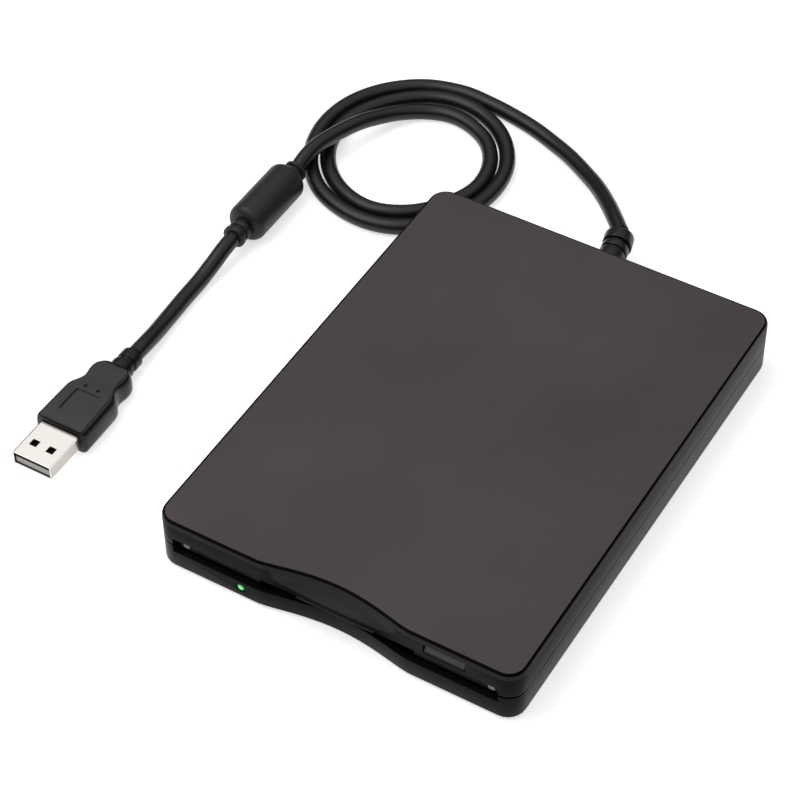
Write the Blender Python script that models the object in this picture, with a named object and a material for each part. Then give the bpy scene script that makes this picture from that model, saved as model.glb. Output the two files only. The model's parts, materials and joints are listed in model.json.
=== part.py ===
"""External USB floppy disk drive, modelled piece by piece.

Units are metres, +Z is up, the floor under the feet is z = 0 and the front with the slot looks along -Y.
The origin is under the middle of the case, on the floor.
"""

import math

import bmesh
import bpy
from mathutils import Vector

# Clearances and shared manufacturing sizes
SEAT_GAP = 0.0003
RUNNING_GAP = 0.00015
CLEARANCE = 0.0005
OVERRUN = 0.002
SHEET = 0.0006
ROUND_SIDES = 24
SMALL_SIDES = 14

# Disk that the drive is built around
DISK_WIDTH = 0.090
DISK_LENGTH = 0.094
DISK_INSET = 0.001
TRACK_ZERO_RADIUS = 0.0395

# Case: its width, depth and height are the sums of what it holds
FOOT_STAND = 0.0008
CORNER_RADIUS = 0.005
CORNER_STEPS = 6
WALL = 0.0018
ROOF = 0.0016
CASE_FLOOR = 0.0014
SIDE_ROOM = 0.0007
ROOF_ROOM = 0.0008
REAR_BAY = 0.018
TOP_BEVEL = 0.00095
BOTTOM_BEVEL = 0.0006
PARTING_GROOVE = 0.0003
PARTING_CHAMFER = 0.0002
TONGUE_THICK = 0.0007
TONGUE_RISE = 0.0009

# Wave pressed into the front of the case, and the scoop above the slot
WAVE_HALF_WIDTH = 0.0213
WAVE_DEPTH = 0.0032
WAVE_LOWER_SHARE = 0.88
WAVE_EXPONENT = 1.4
WAVE_STEPS = 22
SCOOP_FOOT_SHARE = 0.85
SCOOP_SLOPE_RISE = 0.0021

# Slot for the disk
SLOT_SIDE_ROOM = 0.001
SLOT_MIDDLE_DROP = 0.0007
SLOT_MIDDLE_LEFT = 0.0098
SLOT_MIDDLE_RIGHT = 0.0118

# Dust flaps behind the slot
FLAP_THICK = 0.0006
FLAP_MIDDLE_ROOM = 0.0005
FLAP_SWING_ROOM = 0.0004
FLAP_HINGE_RISE = 0.0004
FLAP_PIN_RADIUS = 0.0005
FLAP_PIN_LENGTH = 0.0015
FLAP_BARREL_RADIUS = 0.0004
EAR_THICK = 0.0020
EAR_WALL = 0.0004
EAR_DEPTH = 0.0016

# Eject button
BUTTON_SETIN = 0.01965
BUTTON_WIDTH = 0.0110
BUTTON_HEIGHT = 0.0026
BUTTON_SILL = 0.0007
BUTTON_LENGTH = 0.0080
BUTTON_SETBACK = 0.0001
BUTTON_SLANT = 0.0006
BUTTON_STEM_WIDTH = 0.0062
BUTTON_STEM_LENGTH = 0.0046
EJECT_TRAVEL = 0.0045

# Activity lamp
LAMP_SETIN = 0.0247
LAMP_RISE = 0.0019
LAMP_RADIUS = 0.00115
LAMP_LENGTH = 0.0050
LAMP_FLANGE_RADIUS = 0.00145
LAMP_FLANGE_THICK = 0.0006
LAMP_SETBACK = 0.00005
LAMP_BOARD_WIDTH = 0.0090
LAMP_BOARD_THICK = 0.0005

# Feet and screws
FOOT_RADIUS = 0.0045
FOOT_POCKET = 0.0006
FOOT_SETIN_X = 0.0090
FOOT_SETIN_Y = 0.0165
FOOT_CHAMFER = 0.0002
CASE_SCREW_SETIN_X = 0.0070
CASE_SCREW_SETIN_Y = 0.0080
CASE_SCREW_BITE = 0.0022
SCREW_RADIUS = 0.0010
SCREW_HEAD_RADIUS = 0.0019
SCREW_HEAD_HEIGHT = 0.0009
SCREW_RECESS = 0.0002
SCREW_SLOT_WIDTH = 0.0005
SCREW_SLOT_DEPTH = 0.0004
BOSS_RADIUS = 0.0027

# Chassis
CHASSIS_SHEET = 0.0008
CHASSIS_SIDE_GAP = 0.0006
CHASSIS_SETBACK = 0.0013
CHASSIS_SCREW_SETIN = 0.0130
CHASSIS_SCREW_FRONT = 0.0170
CHASSIS_SCREW_BACK = 0.0080
CHASSIS_END_MARGIN = 0.0001
HOLDER_PIN_NOTCH_GAP = 0.0004

# Spindle motor
MOTOR_BOARD_RADIUS = 0.0240
MOTOR_BOARD_THICK = 0.0005
MOTOR_TAIL_HALF_WIDTH = 0.0060
MOTOR_TAIL_SETBACK = 0.0050
STATOR_CORE_RADIUS = 0.0085
STATOR_REACH = 0.0192
STATOR_TEETH = 12
STATOR_TOOTH_SHARE = 0.46
STATOR_THICK = 0.0006
ROTOR_RADIUS = 0.0216
ROTOR_SHEET = 0.0005
ROTOR_SKIRT = 0.0008
ROTOR_SKIRT_THICK = 0.0012
ROTOR_HUB_RADIUS = 0.0105
ROTOR_HUB_RISE = 0.0007
ROTOR_PIN_RADIUS = 0.0020
ROTOR_PIN_RISE = 0.0010
DRIVE_PIN_RADIUS = 0.0009
DRIVE_PIN_OFFSET = 0.0062
BEARING_RADIUS = 0.0045
SPINDLE_MARGIN = 0.00005

# Disk holder
HOLDER_CHANNEL = 0.0041
HOLDER_DROP = 0.0017
HOLDER_FLANGE = 0.0050
HOLDER_SIDE_ROOM = 0.0004
HOLDER_OVERHANG = 0.0040
HOLDER_PIN_RADIUS = 0.0009
HOLDER_PIN_LENGTH = 0.0023
HOLDER_PIN_RISE = 0.0021
HOLDER_PIN_FRONT = 0.0123
HOLDER_PIN_BACK = 0.0190
HEAD_WINDOW_HALF_WIDTH = 0.0085
HEAD_WINDOW_LENGTH = 0.0320

# Eject slide
SLIDE_SHEET = 0.0005
SLIDE_SIDE_GAP = 0.0006
SLIDE_SETBACK = 0.0010
SLIDE_SHORTFALL = 0.0010
SLIDE_SKIRT_RISE = 0.0007
SLIDE_HEADROOM = 0.0018
SLIDE_BAND = 0.0090
SLIDE_RAIL = 0.0060
SLIDE_TONGUE_LENGTH = 0.0016
SLIDE_SLOT_GAP = 0.0004

# Eject springs
SPRING_RADIUS = 0.0012
SPRING_WIRE_RADIUS = 0.00025
SPRING_TURNS = 12
SPRING_LENGTH = 0.0120
SPRING_SETIN = 0.0036

# Shutter lever
LEVER_SETIN_X = 0.0120
LEVER_SETIN_Y = 0.0030
LEVER_WINDOW_ROOM = 0.0025
LEVER_REST_DEGREES = -30.0
LEVER_SWING_DEGREES = 42.0
LEVER_WIDTH = 0.0040
LEVER_PIN_RADIUS = 0.0010
LEVER_PIN_RISE = 0.0012
LEVER_PIVOT_RADIUS = 0.0012
LEVER_SLOT_GAP = 0.0004
LEVER_SLOT_STEPS = 10

# Head carriage
HEAD_TRAVEL = 0.0148
HEAD_LENGTH = 0.0030
HEAD_WIDTH = 0.0044
LOWER_HEAD_DROP = 0.0003
UPPER_HEAD_RISE = 0.00025
CARRIAGE_HALF_WIDTH = 0.0060
CARRIAGE_ARM_THICK = 0.0010
CARRIAGE_BLOCK_LENGTH = 0.0074
ARM_PIVOT_DROP = 0.00145
ARM_PIVOT_RADIUS = 0.0008
ARM_HALF_WIDTH = 0.0045
ARM_THICK = 0.0010
GUIDE_ROD_X = -0.0120
GUIDE_ROD_RISE = 0.0029
GUIDE_ROD_RADIUS = 0.00125
BUSH_RADIUS = 0.0024
ROD_CLIP_WIDTH = 0.0060
ROD_CLIP_DEPTH = 0.0016

# Stepper motor and lead screw
SCREW_X = 0.0140
SCREW_RISE = 0.0039
LEAD_SCREW_RADIUS = 0.0014
LEAD_SCREW_SETBACK = 0.0025
LEAD_SCREW_PITCH = 0.00375
LEAD_SCREW_GROOVE = 0.0003
LEAD_SCREW_TURN_STEPS = 10
STEPPER_RADIUS = 0.0044
STEPPER_LENGTH = 0.0110
STEPPER_PLATE_THICK = 0.0008
FOLLOWER_HALF_WIDTH = 0.0012

# Boards
BOARD_THICK = 0.0008
BOARD_LIFT = 0.0006
CONTROL_BOARD_SIDE_ROOM = 0.0030
CONTROL_BOARD_ROD_ROOM = 0.0035
CONTROL_BOARD_FRONT_ROOM = 0.0060
CONTROL_BOARD_BACK_ROOM = 0.0008
USB_BOARD_SIDE_ROOM = 0.0130
USB_BOARD_MOTOR_ROOM = 0.0056
USB_BOARD_FRONT_ROOM = 0.0020
USB_BOARD_BACK_ROOM = 0.0040
USB_BOARD_RISE = 0.0020
CHIP_SIZE = 0.0090
CHIP_HEIGHT = 0.0012
CHIP_SETIN = 0.00175
FLAT_CABLE_HALF_WIDTH = 0.0060
FLAT_CABLE_LAP = 0.0060
FLAT_CABLE_THICK = 0.0003
FLAT_CABLE_HUMP = 0.0018

# Disk sensing switches
SWITCH_SETIN_X = 0.0150
SWITCH_SETIN_Y = 0.0050
SWITCH_PITCH = 0.0060
SWITCH_COUNT = 3
SWITCH_BLOCK_DEPTH = 0.0040
SWITCH_BLOCK_HEIGHT = 0.0012
SWITCH_PIN_RADIUS = 0.0007
SWITCH_PIN_RISE = 0.0014
SWITCH_TRAVEL = 0.0010
SWITCH_POCKET = 0.0011

# Track zero sensor
SENSOR_X = 0.0085
SENSOR_SETBACK = 0.0050
SENSOR_WIDTH = 0.0030
SENSOR_LENGTH = 0.0040
SENSOR_HEIGHT = 0.0030
SENSOR_GAP = 0.0012

# Shield over the mechanism
SHIELD_SHEET = 0.0004
SHIELD_OPENING_HALF_X = 0.0180
SHIELD_OPENING_HALF_Y = 0.0150

# Cord and its strain relief
CORD_DIAMETER = 0.0042
CORD_REST = 0.0001
CORD_END_GAP = 0.0007
RELIEF_RADIUS = 0.0040
RELIEF_GROOVE_RADIUS = 0.0033
RELIEF_NECK_RADIUS = 0.0030
RELIEF_FLANGE_RADIUS = 0.0048
RELIEF_FLANGE_THICK = 0.0014
RELIEF_TIP_RADIUS = 0.0026
RELIEF_LENGTH = 0.0160
RELIEF_RING_SHARES = (0.28, 0.33, 0.56, 0.61, 0.76, 0.88)
TUBE_STEP = 0.0075
BEND_SAMPLES = 24

# Ferrite core at the end of the cord's loops
FERRITE_LENGTH = 0.0240
FERRITE_RADIUS = 0.0058
FERRITE_EDGE = 0.0016
COLLAR_RADIUS = 0.0034
COLLAR_NECK_RADIUS = 0.0027
COLLAR_LENGTH = 0.0036
COLLAR_NECK_LENGTH = 0.0010

# Plug at the end of the cord
PLUG_HALF_WIDTH = 0.0080
PLUG_HALF_HEIGHT = 0.0040
PLUG_BODY_LENGTH = 0.0257
PLUG_RELIEF_LENGTH = 0.0072
PLUG_RELIEF_RADIUS = 0.0030
PLUG_CORNER_STEPS = 9
SHELL_WIDTH = 0.0120
SHELL_HEIGHT = 0.0045
SHELL_WALL = 0.0003
SHELL_LENGTH = 0.0124
SHELL_HOLE = 0.0022
SHELL_HOLE_X = 0.0026
SHELL_HOLE_SETBACK = 0.0052
SHELL_CORNER = 0.0005
TONGUE_PLATE_THICK = 0.0018
TONGUE_PLATE_SETBACK = 0.0006

# Heights, worked out from the floor upwards
CASE_BASE = FOOT_STAND
FLOOR_TOP = CASE_BASE + CASE_FLOOR
CHASSIS_UNDER = FLOOR_TOP + SEAT_GAP
CHASSIS_TOP = CHASSIS_UNDER + CHASSIS_SHEET
MOTOR_BOARD_TOP = CHASSIS_UNDER + MOTOR_BOARD_THICK
STATOR_UNDER = MOTOR_BOARD_TOP + RUNNING_GAP
STATOR_TOP = STATOR_UNDER + STATOR_THICK
ROTOR_UNDER = STATOR_TOP + SEAT_GAP
ROTOR_TOP = ROTOR_UNDER + ROTOR_SHEET
ROTOR_HUB_TOP = ROTOR_TOP + ROTOR_HUB_RISE
ROTOR_PIN_TOP = ROTOR_HUB_TOP + ROTOR_PIN_RISE
HOLDER_FLOOR_Z = ROTOR_PIN_TOP + SPINDLE_MARGIN
HOLDER_UNDER = HOLDER_FLOOR_Z - SHEET
HOLDER_TOP_UNDER = HOLDER_FLOOR_Z + HOLDER_CHANNEL
HOLDER_TOP = HOLDER_TOP_UNDER + SHEET
HOLDER_PIN_Z = HOLDER_FLOOR_Z + HOLDER_PIN_RISE
LEVER_UNDER = HOLDER_TOP + SEAT_GAP
LEVER_PIN_FOOT_Z = HOLDER_FLOOR_Z + LEVER_PIN_RISE
SLIDE_UNDER = LEVER_UNDER + SHEET
SLIDE_TOP = SLIDE_UNDER + SLIDE_SHEET
SLIDE_SKIRT_Z = CHASSIS_TOP + SLIDE_SKIRT_RISE
SHIELD_UNDER = SLIDE_TOP + SLIDE_HEADROOM
CHASSIS_WALL_TOP = SHIELD_UNDER - SEAT_GAP
ROOF_UNDER = SHIELD_UNDER + SHIELD_SHEET + ROOF_ROOM
CASE_TOP = ROOF_UNDER + ROOF
SILL_Z = HOLDER_FLOOR_Z
MIDDLE_LINTEL_Z = HOLDER_TOP_UNDER
LINTEL_Z = MIDDLE_LINTEL_Z + SLOT_MIDDLE_DROP
PARTING_Z = (SILL_Z + LINTEL_Z) / 2
HINGE_Z = LINTEL_Z + FLAP_HINGE_RISE
BUTTON_LOW_Z = LINTEL_Z + BUTTON_SILL + SEAT_GAP
BUTTON_HIGH_Z = BUTTON_LOW_Z + BUTTON_HEIGHT
LAMP_Z = FLOOR_TOP + LAMP_RISE
CARRIAGE_UNDER = CHASSIS_TOP + SEAT_GAP
CARRIAGE_ARM_TOP = CARRIAGE_UNDER + CARRIAGE_ARM_THICK
LOWER_HEAD_TOP_Z = HOLDER_FLOOR_Z - LOWER_HEAD_DROP
UPPER_HEAD_FOOT_Z = HOLDER_TOP_UNDER + UPPER_HEAD_RISE
ARM_UNDER = UPPER_HEAD_FOOT_Z + SHEET
ARM_TOP = ARM_UNDER + ARM_THICK
ARM_PIVOT_Z = ARM_UNDER - ARM_PIVOT_DROP
KNUCKLE_RADIUS = ARM_PIVOT_DROP + SHEET / 2
CARRIAGE_BLOCK_TOP_Z = ARM_PIVOT_Z - KNUCKLE_RADIUS - SEAT_GAP
GUIDE_ROD_Z = CHASSIS_TOP + GUIDE_ROD_RISE
SCREW_Z = CHASSIS_TOP + SCREW_RISE
BOARD_UNDER = CHASSIS_TOP + BOARD_LIFT
BOARD_TOP = BOARD_UNDER + BOARD_THICK
USB_BOARD_Z = FLOOR_TOP + USB_BOARD_RISE
USB_BOARD_TOP = USB_BOARD_Z + BOARD_THICK
CASE_SCREW_FOOT = CASE_BASE + SCREW_RECESS
CASE_SCREW_TIP = PARTING_Z + CASE_SCREW_BITE

# Widths, worked out from the disk outwards
SLOT_HALF_WIDTH = DISK_WIDTH / 2 + SLOT_SIDE_ROOM
FLAP_OUTER_END = DISK_WIDTH / 2
FLAP_INNER_END = WAVE_HALF_WIDTH + FLAP_MIDDLE_ROOM
HOLDER_INNER = DISK_WIDTH / 2 + HOLDER_SIDE_ROOM
HOLDER_OUTER = HOLDER_INNER + SHEET
SLIDE_HALF_WIDTH = HOLDER_OUTER + SLIDE_SIDE_GAP + SLIDE_SHEET
CHASSIS_HALF_WIDTH = SLIDE_HALF_WIDTH + CHASSIS_SIDE_GAP + CHASSIS_SHEET
HALF_WIDTH = CHASSIS_HALF_WIDTH + SIDE_ROOM + WALL
BUTTON_X = HALF_WIDTH - BUTTON_SETIN
LAMP_X = LAMP_SETIN - HALF_WIDTH
FOOT_X = HALF_WIDTH - FOOT_SETIN_X
CASE_SCREW_X = HALF_WIDTH - CASE_SCREW_SETIN_X
CHASSIS_SCREW_X = CHASSIS_HALF_WIDTH - CHASSIS_SCREW_SETIN
SPRING_X = SLIDE_HALF_WIDTH - SPRING_SETIN
LEVER_PIVOT_X = LEVER_SETIN_X - DISK_WIDTH / 2
LEVER_REACH = -LEVER_PIVOT_X - HEAD_WINDOW_HALF_WIDTH - LEVER_WINDOW_ROOM
SWITCH_X = DISK_WIDTH / 2 - SWITCH_SETIN_X
CONTROL_BOARD_LEFT = CONTROL_BOARD_SIDE_ROOM - CHASSIS_HALF_WIDTH
CONTROL_BOARD_RIGHT = GUIDE_ROD_X - ROD_CLIP_WIDTH / 2 - CONTROL_BOARD_ROD_ROOM
USB_BOARD_LEFT = USB_BOARD_SIDE_ROOM - HALF_WIDTH
USB_BOARD_RIGHT = SCREW_X - STEPPER_RADIUS - USB_BOARD_MOTOR_ROOM
FLAT_CABLE_X = (CONTROL_BOARD_LEFT + CONTROL_BOARD_RIGHT) / 2

# Depths behind the front face, worked out from front to back
DISK_REACH = DISK_INSET + DISK_LENGTH
FRONT_CLIP_REACH = DISK_REACH + CLEARANCE
BLOCK_REACH = FRONT_CLIP_REACH + ROD_CLIP_DEPTH + CLEARANCE + HEAD_TRAVEL
REAR_CLIP_REACH = BLOCK_REACH + CARRIAGE_BLOCK_LENGTH + CLEARANCE
CHASSIS_REACH = REAR_CLIP_REACH + ROD_CLIP_DEPTH + CHASSIS_END_MARGIN
HALF_DEPTH = (CHASSIS_REACH + REAR_BAY) / 2
FRONT_Y = -HALF_DEPTH
HINGE_Y = FRONT_Y + WALL + SEAT_GAP + FLAP_THICK / 2
FLAP_DROP = HINGE_Z - SILL_Z - SEAT_GAP
HOLDER_FRONT = HINGE_Y + FLAP_DROP + FLAP_SWING_ROOM
CHASSIS_FRONT = HOLDER_FRONT + CHASSIS_SETBACK
SLIDE_FRONT = CHASSIS_FRONT + SLIDE_SETBACK
SPINDLE_Y = FRONT_Y + DISK_INSET + DISK_LENGTH / 2
MOTOR_TAIL_FRONT = CHASSIS_FRONT + MOTOR_TAIL_SETBACK
HEAD_Y = SPINDLE_Y + TRACK_ZERO_RADIUS
DISK_BACK_Y = FRONT_Y + DISK_REACH
SLIDE_BACK = DISK_BACK_Y - SLIDE_SHORTFALL
HOLDER_BACK = DISK_BACK_Y + HOLDER_OVERHANG
HOLDER_PIN_FRONT_Y = HOLDER_FRONT + HOLDER_PIN_FRONT
HOLDER_PIN_BACK_Y = HOLDER_BACK - HOLDER_PIN_BACK
HEAD_WINDOW_FRONT = HOLDER_BACK - HEAD_WINDOW_LENGTH
LEVER_PIVOT_Y = DISK_BACK_Y - LEVER_SETIN_Y
SWITCH_Y = DISK_BACK_Y - SWITCH_SETIN_Y
SENSOR_Y = DISK_BACK_Y + SENSOR_SETBACK
GUIDE_ROD_FRONT = FRONT_Y + FRONT_CLIP_REACH + SEAT_GAP
CARRIAGE_BLOCK_FRONT = FRONT_Y + BLOCK_REACH
CARRIAGE_BLOCK_BACK = CARRIAGE_BLOCK_FRONT + CARRIAGE_BLOCK_LENGTH
ARM_PIVOT_Y = (CARRIAGE_BLOCK_FRONT + CARRIAGE_BLOCK_BACK) / 2
GUIDE_ROD_BACK = FRONT_Y + REAR_CLIP_REACH + ROD_CLIP_DEPTH - SEAT_GAP
CHASSIS_BACK = FRONT_Y + CHASSIS_REACH
LEAD_SCREW_FRONT = DISK_BACK_Y + LEAD_SCREW_SETBACK
STEPPER_PLATE_Y = CHASSIS_BACK + SIDE_ROOM
STEPPER_FRONT = STEPPER_PLATE_Y + STEPPER_PLATE_THICK
CONTROL_BOARD_FRONT = DISK_BACK_Y + CONTROL_BOARD_FRONT_ROOM
CONTROL_BOARD_BACK = CHASSIS_BACK - CONTROL_BOARD_BACK_ROOM
USB_BOARD_FRONT = CHASSIS_BACK + USB_BOARD_FRONT_ROOM
USB_BOARD_BACK = HALF_DEPTH - USB_BOARD_BACK_ROOM
FOOT_Y = HALF_DEPTH - FOOT_SETIN_Y
CASE_SCREW_Y = HALF_DEPTH - CASE_SCREW_SETIN_Y

# Way of the cord's axis out of the relief: x and y from its tip, and the share of the exit's height
LEAD_ROUTE = [
    (0.0000, 0.0007, 1.00),
    (-0.0002, 0.0037, 0.98),
    (-0.0042, 0.0107, 0.65),
    (-0.0140, 0.0185, 0.18),
    (-0.0260, 0.0255, 0.00),
]
# Its loops, chosen by hand: x and y from the back left corner of the case, z from the floor
LOOP_ROUTE = [
    (0.0130, 0.0474, 0.0022),
    (0.0010, 0.0515, 0.0022),
    (-0.0110, 0.0541, 0.0022),
    (-0.0225, 0.0540, 0.0022),
    (-0.0340, 0.0507, 0.0022),
    (-0.0432, 0.0438, 0.0022),
    (-0.0492, 0.0345, 0.0022),
    (-0.0515, 0.0240, 0.0022),
    (-0.0501, 0.0132, 0.0022),
    (-0.0450, 0.0035, 0.0022),
    (-0.0370, -0.0042, 0.0022),
    (-0.0270, -0.0084, 0.0022),
    (-0.0170, -0.0090, 0.0022),
    (-0.0080, -0.0058, 0.0022),
    (-0.0005, 0.0014, 0.0022),
    (0.0046, 0.0102, 0.0022),
    (0.0065, 0.0200, 0.0022),
    (0.0050, 0.0300, 0.0022),
    (-0.0003, 0.0390, 0.0022),
    (-0.0085, 0.0457, 0.0022),
    (-0.0185, 0.0489, 0.0022),
    (-0.0288, 0.0472, 0.0022),
    (-0.0376, 0.0409, 0.0022),
    (-0.0437, 0.0320, 0.0022),
    (-0.0462, 0.0220, 0.0022),
    (-0.0441, 0.0122, 0.0022),
    (-0.0381, 0.0036, 0.0022),
    (-0.0293, -0.0022, 0.0022),
    (-0.0195, -0.0037, 0.0022),
    (-0.0102, 0.0002, 0.0022),
    (-0.0029, 0.0080, 0.0022),
    (0.0012, 0.0180, 0.0022),
    (-0.0001, 0.0283, 0.0022),
    (-0.0052, 0.0364, 0.0022),
    (-0.0124, 0.0412, 0.0022),
    (-0.0202, 0.0427, 0.0022),
    (-0.0276, 0.0406, 0.0024),
    (-0.0334, 0.0356, 0.0033),
    (-0.0372, 0.0290, 0.0049),
    (-0.0398, 0.0224, 0.0065),
    (-0.0419, 0.0158, 0.0073),
    (-0.0435, 0.0095, 0.0078),
    (-0.0445, 0.0045, 0.0077),
    (-0.0450, 0.0003, 0.0063),
    (-0.0450, -0.0032, 0.0058),
]
# From the core to the plug: x and y from the front end of the core
TAIL_ROUTE = [
    (0.0000, 0.0000, 0.0058),
    (0.0000, -0.0031, 0.0057),
    (-0.0001, -0.0067, 0.0051),
    (-0.0002, -0.0101, 0.0042),
    (-0.0004, -0.0137, 0.0033),
    (-0.0005, -0.0171, 0.0026),
    (-0.0005, -0.0210, 0.0022),
    (-0.0004, -0.0251, 0.0022),
    (-0.0002, -0.0290, 0.0022),
    (0.0000, -0.0330, 0.0023),
    (0.0003, -0.0369, 0.0026),
    (0.0007, -0.0405, 0.0030),
    (0.0010, -0.0439, 0.0035),
    (0.0012, -0.0475, 0.0039),
    (0.0012, -0.0509, 0.0040),
]

# Places of the cord and of what is on it
CORD_RADIUS = CORD_DIAMETER / 2
CORD_REST_Z = CORD_RADIUS + CORD_REST
CORD_EXIT_Z = PARTING_Z
RELIEF_BASE_Y = HALF_DEPTH + SEAT_GAP
RELIEF_TIP_Y = RELIEF_BASE_Y + RELIEF_LENGTH
FERRITE_X = LOOP_ROUTE[-1][0] - HALF_WIDTH
FERRITE_BACK = LOOP_ROUTE[-1][1] + HALF_DEPTH - CORD_END_GAP - COLLAR_LENGTH
FERRITE_FRONT = FERRITE_BACK - FERRITE_LENGTH
TAIL_Y = FERRITE_FRONT - COLLAR_LENGTH - CORD_END_GAP
PLUG_X = FERRITE_X + TAIL_ROUTE[-1][0]
PLUG_Z = PLUG_HALF_HEIGHT
PLUG_BACK_Y = TAIL_Y + TAIL_ROUTE[-1][1] - CORD_END_GAP - PLUG_RELIEF_LENGTH
PLUG_FACE_Y = PLUG_BACK_Y - PLUG_BODY_LENGTH
SHELL_BACK_Y = PLUG_FACE_Y - SEAT_GAP
SHELL_FRONT_Y = SHELL_BACK_Y - SHELL_LENGTH


def clear_scene():
    for old in list(bpy.data.objects):
        bpy.data.objects.remove(old)


def finish(name, colour, roughness, metallic=0.0):
    material = bpy.data.materials.new(name)
    material.use_nodes = True
    shader = material.node_tree.nodes["Principled BSDF"]
    shader.inputs["Base Color"].default_value = (*colour, 1.0)
    shader.inputs["Roughness"].default_value = roughness
    shader.inputs["Metallic"].default_value = metallic
    return material


def keep(name, mesh, material=None):
    """Puts a mesh into the scene as a named object, its faces outwards."""
    part = bpy.data.objects.new(name, mesh)
    bpy.context.scene.collection.objects.link(part)
    if material:
        mesh.materials.append(material)
    return part


def from_bmesh(name, work, material=None, smooth=False):
    bmesh.ops.recalc_face_normals(work, faces=work.faces)
    mesh = bpy.data.meshes.new(name)
    work.to_mesh(mesh)
    work.free()
    if smooth:
        mesh.shade_smooth()
        mesh.set_sharp_from_angle(angle=math.radians(35))
    return keep(name, mesh, material)


def stack(name, rings, material=None, smooth=False):
    """Skins a pile of closed rings with the same number of points, and closes both ends."""
    work = bmesh.new()
    rows = [[work.verts.new(point) for point in ring] for ring in rings]
    for low, high in zip(rows, rows[1:]):
        for i in range(len(low)):
            j = (i + 1) % len(low)
            work.faces.new((low[i], low[j], high[j], high[i]))
    work.faces.new(rows[0])
    work.faces.new(rows[-1])
    return from_bmesh(name, work, material, smooth)


def along(axis, across, up, place):
    """Turns a flat outline point and a place along an axis into a space point."""
    if axis == "X":
        return Vector((place, across, up))
    if axis == "Y":
        return Vector((across, place, up))
    return Vector((across, up, place))


def prism(name, outline, low, high, axis="Z", material=None, smooth=False):
    """A flat outline drawn out along an axis."""
    rings = [[along(axis, a, b, place) for a, b in outline] for place in (low, high)]
    return stack(name, rings, material, smooth)


def block(name, low, high, material=None):
    x0, y0, z0 = low
    x1, y1, z1 = high
    return prism(name, [(x0, y0), (x1, y0), (x1, y1), (x0, y1)], z0, z1, "Z", material)


def circle(centre, radius, sides=ROUND_SIDES):
    turn = 2 * math.pi / sides
    return [
        (centre[0] + radius * math.cos(i * turn), centre[1] + radius * math.sin(i * turn))
        for i in range(sides)
    ]


def rod(name, centre, radius, low, high, axis="Z", material=None, sides=ROUND_SIDES):
    return prism(name, circle(centre, radius, sides), low, high, axis, material, True)


def turned(name, centre, profile, axis="Z", material=None, sides=ROUND_SIDES):
    """A profile of (radius, place) points turned about an axis; its ends are closed flat."""
    rings = [
        [along(axis, a, b, place) for a, b in circle(centre, radius, sides)]
        for radius, place in profile
    ]
    return stack(name, rings, material, True)


def capsule(start, end, radius, steps=6):
    """Outline of a slot with round ends between two flat points."""
    reach = Vector(end) - Vector(start)
    heading = math.atan2(reach.y, reach.x)
    points = []
    for centre, first in ((end, heading - math.pi / 2), (start, heading + math.pi / 2)):
        for i in range(steps + 1):
            angle = first + math.pi * i / steps
            points.append(
                (centre[0] + radius * math.cos(angle), centre[1] + radius * math.sin(angle))
            )
    return points


def operate(part, tool, operation):
    step = part.modifiers.new(tool.name, "BOOLEAN")
    step.operation = operation
    step.solver = "EXACT"
    step.object = tool
    tool.hide_render = True
    tool.display_type = "WIRE"


def add(part, *tools):
    for tool in tools:
        operate(part, tool, "UNION")
    return part


def cut(part, *tools):
    for tool in tools:
        operate(part, tool, "DIFFERENCE")
    return part


def pivot(name, place):
    """An empty on a joint's axis, which the pieces of a moving body hang from."""
    empty = bpy.data.objects.new(name, None)
    empty.location = place
    bpy.context.scene.collection.objects.link(empty)
    return empty


def hang(empty, *parts):
    for part in parts:
        part.parent = empty
        part.location = -empty.location


def wave(x):
    """How far the front is pressed in at x, from nothing at the ends to one in the middle."""
    share = min(abs(x) / WAVE_HALF_WIDTH, 1.0)
    return (1.0 - share * share) ** WAVE_EXPONENT


def case_ring(z, inset, wave_share):
    """One level of the case: a rounded rectangle with the wave in its front side."""
    points = []
    for i in range(WAVE_STEPS + 1):
        x = WAVE_HALF_WIDTH * (2 * i / WAVE_STEPS - 1)
        points.append((x, FRONT_Y + inset + wave_share * WAVE_DEPTH * wave(x), z))
    radius = max(CORNER_RADIUS - inset, PARTING_CHAMFER)
    reach_x = HALF_WIDTH - inset - radius
    reach_y = HALF_DEPTH - inset - radius
    corners = ((reach_x, -reach_y, 3), (reach_x, reach_y, 0), (-reach_x, reach_y, 1), (-reach_x, -reach_y, 2))
    for x, y, quarter in corners:
        for i in range(CORNER_STEPS + 1):
            angle = math.pi / 2 * (quarter + i / CORNER_STEPS)
            points.append((x + radius * math.cos(angle), y + radius * math.sin(angle), z))
    return points


def relief_bore(name):
    return rod(
        name,
        (0, CORD_EXIT_Z),
        RELIEF_NECK_RADIUS + SEAT_GAP,
        HALF_DEPTH - WALL - OVERRUN,
        HALF_DEPTH + OVERRUN,
        "Y",
    )


def slot_outline():
    """The mouth for the disk, seen from the front, with the lower middle of the upper lip."""
    return [
        (-SLOT_HALF_WIDTH, SILL_Z),
        (SLOT_HALF_WIDTH, SILL_Z),
        (SLOT_HALF_WIDTH, LINTEL_Z),
        (SLOT_MIDDLE_RIGHT, LINTEL_Z),
        (SLOT_MIDDLE_RIGHT, MIDDLE_LINTEL_Z),
        (-SLOT_MIDDLE_LEFT, MIDDLE_LINTEL_Z),
        (-SLOT_MIDDLE_LEFT, LINTEL_Z),
        (-SLOT_HALF_WIDTH, LINTEL_Z),
    ]


def slot_cutter(name):
    back = FRONT_Y + WALL + WAVE_DEPTH + OVERRUN
    return prism(name, slot_outline(), FRONT_Y - OVERRUN, back, "Y")


def case_corners(x, y):
    return [(-x, -y), (x, -y), (-x, y), (x, y)]


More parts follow.
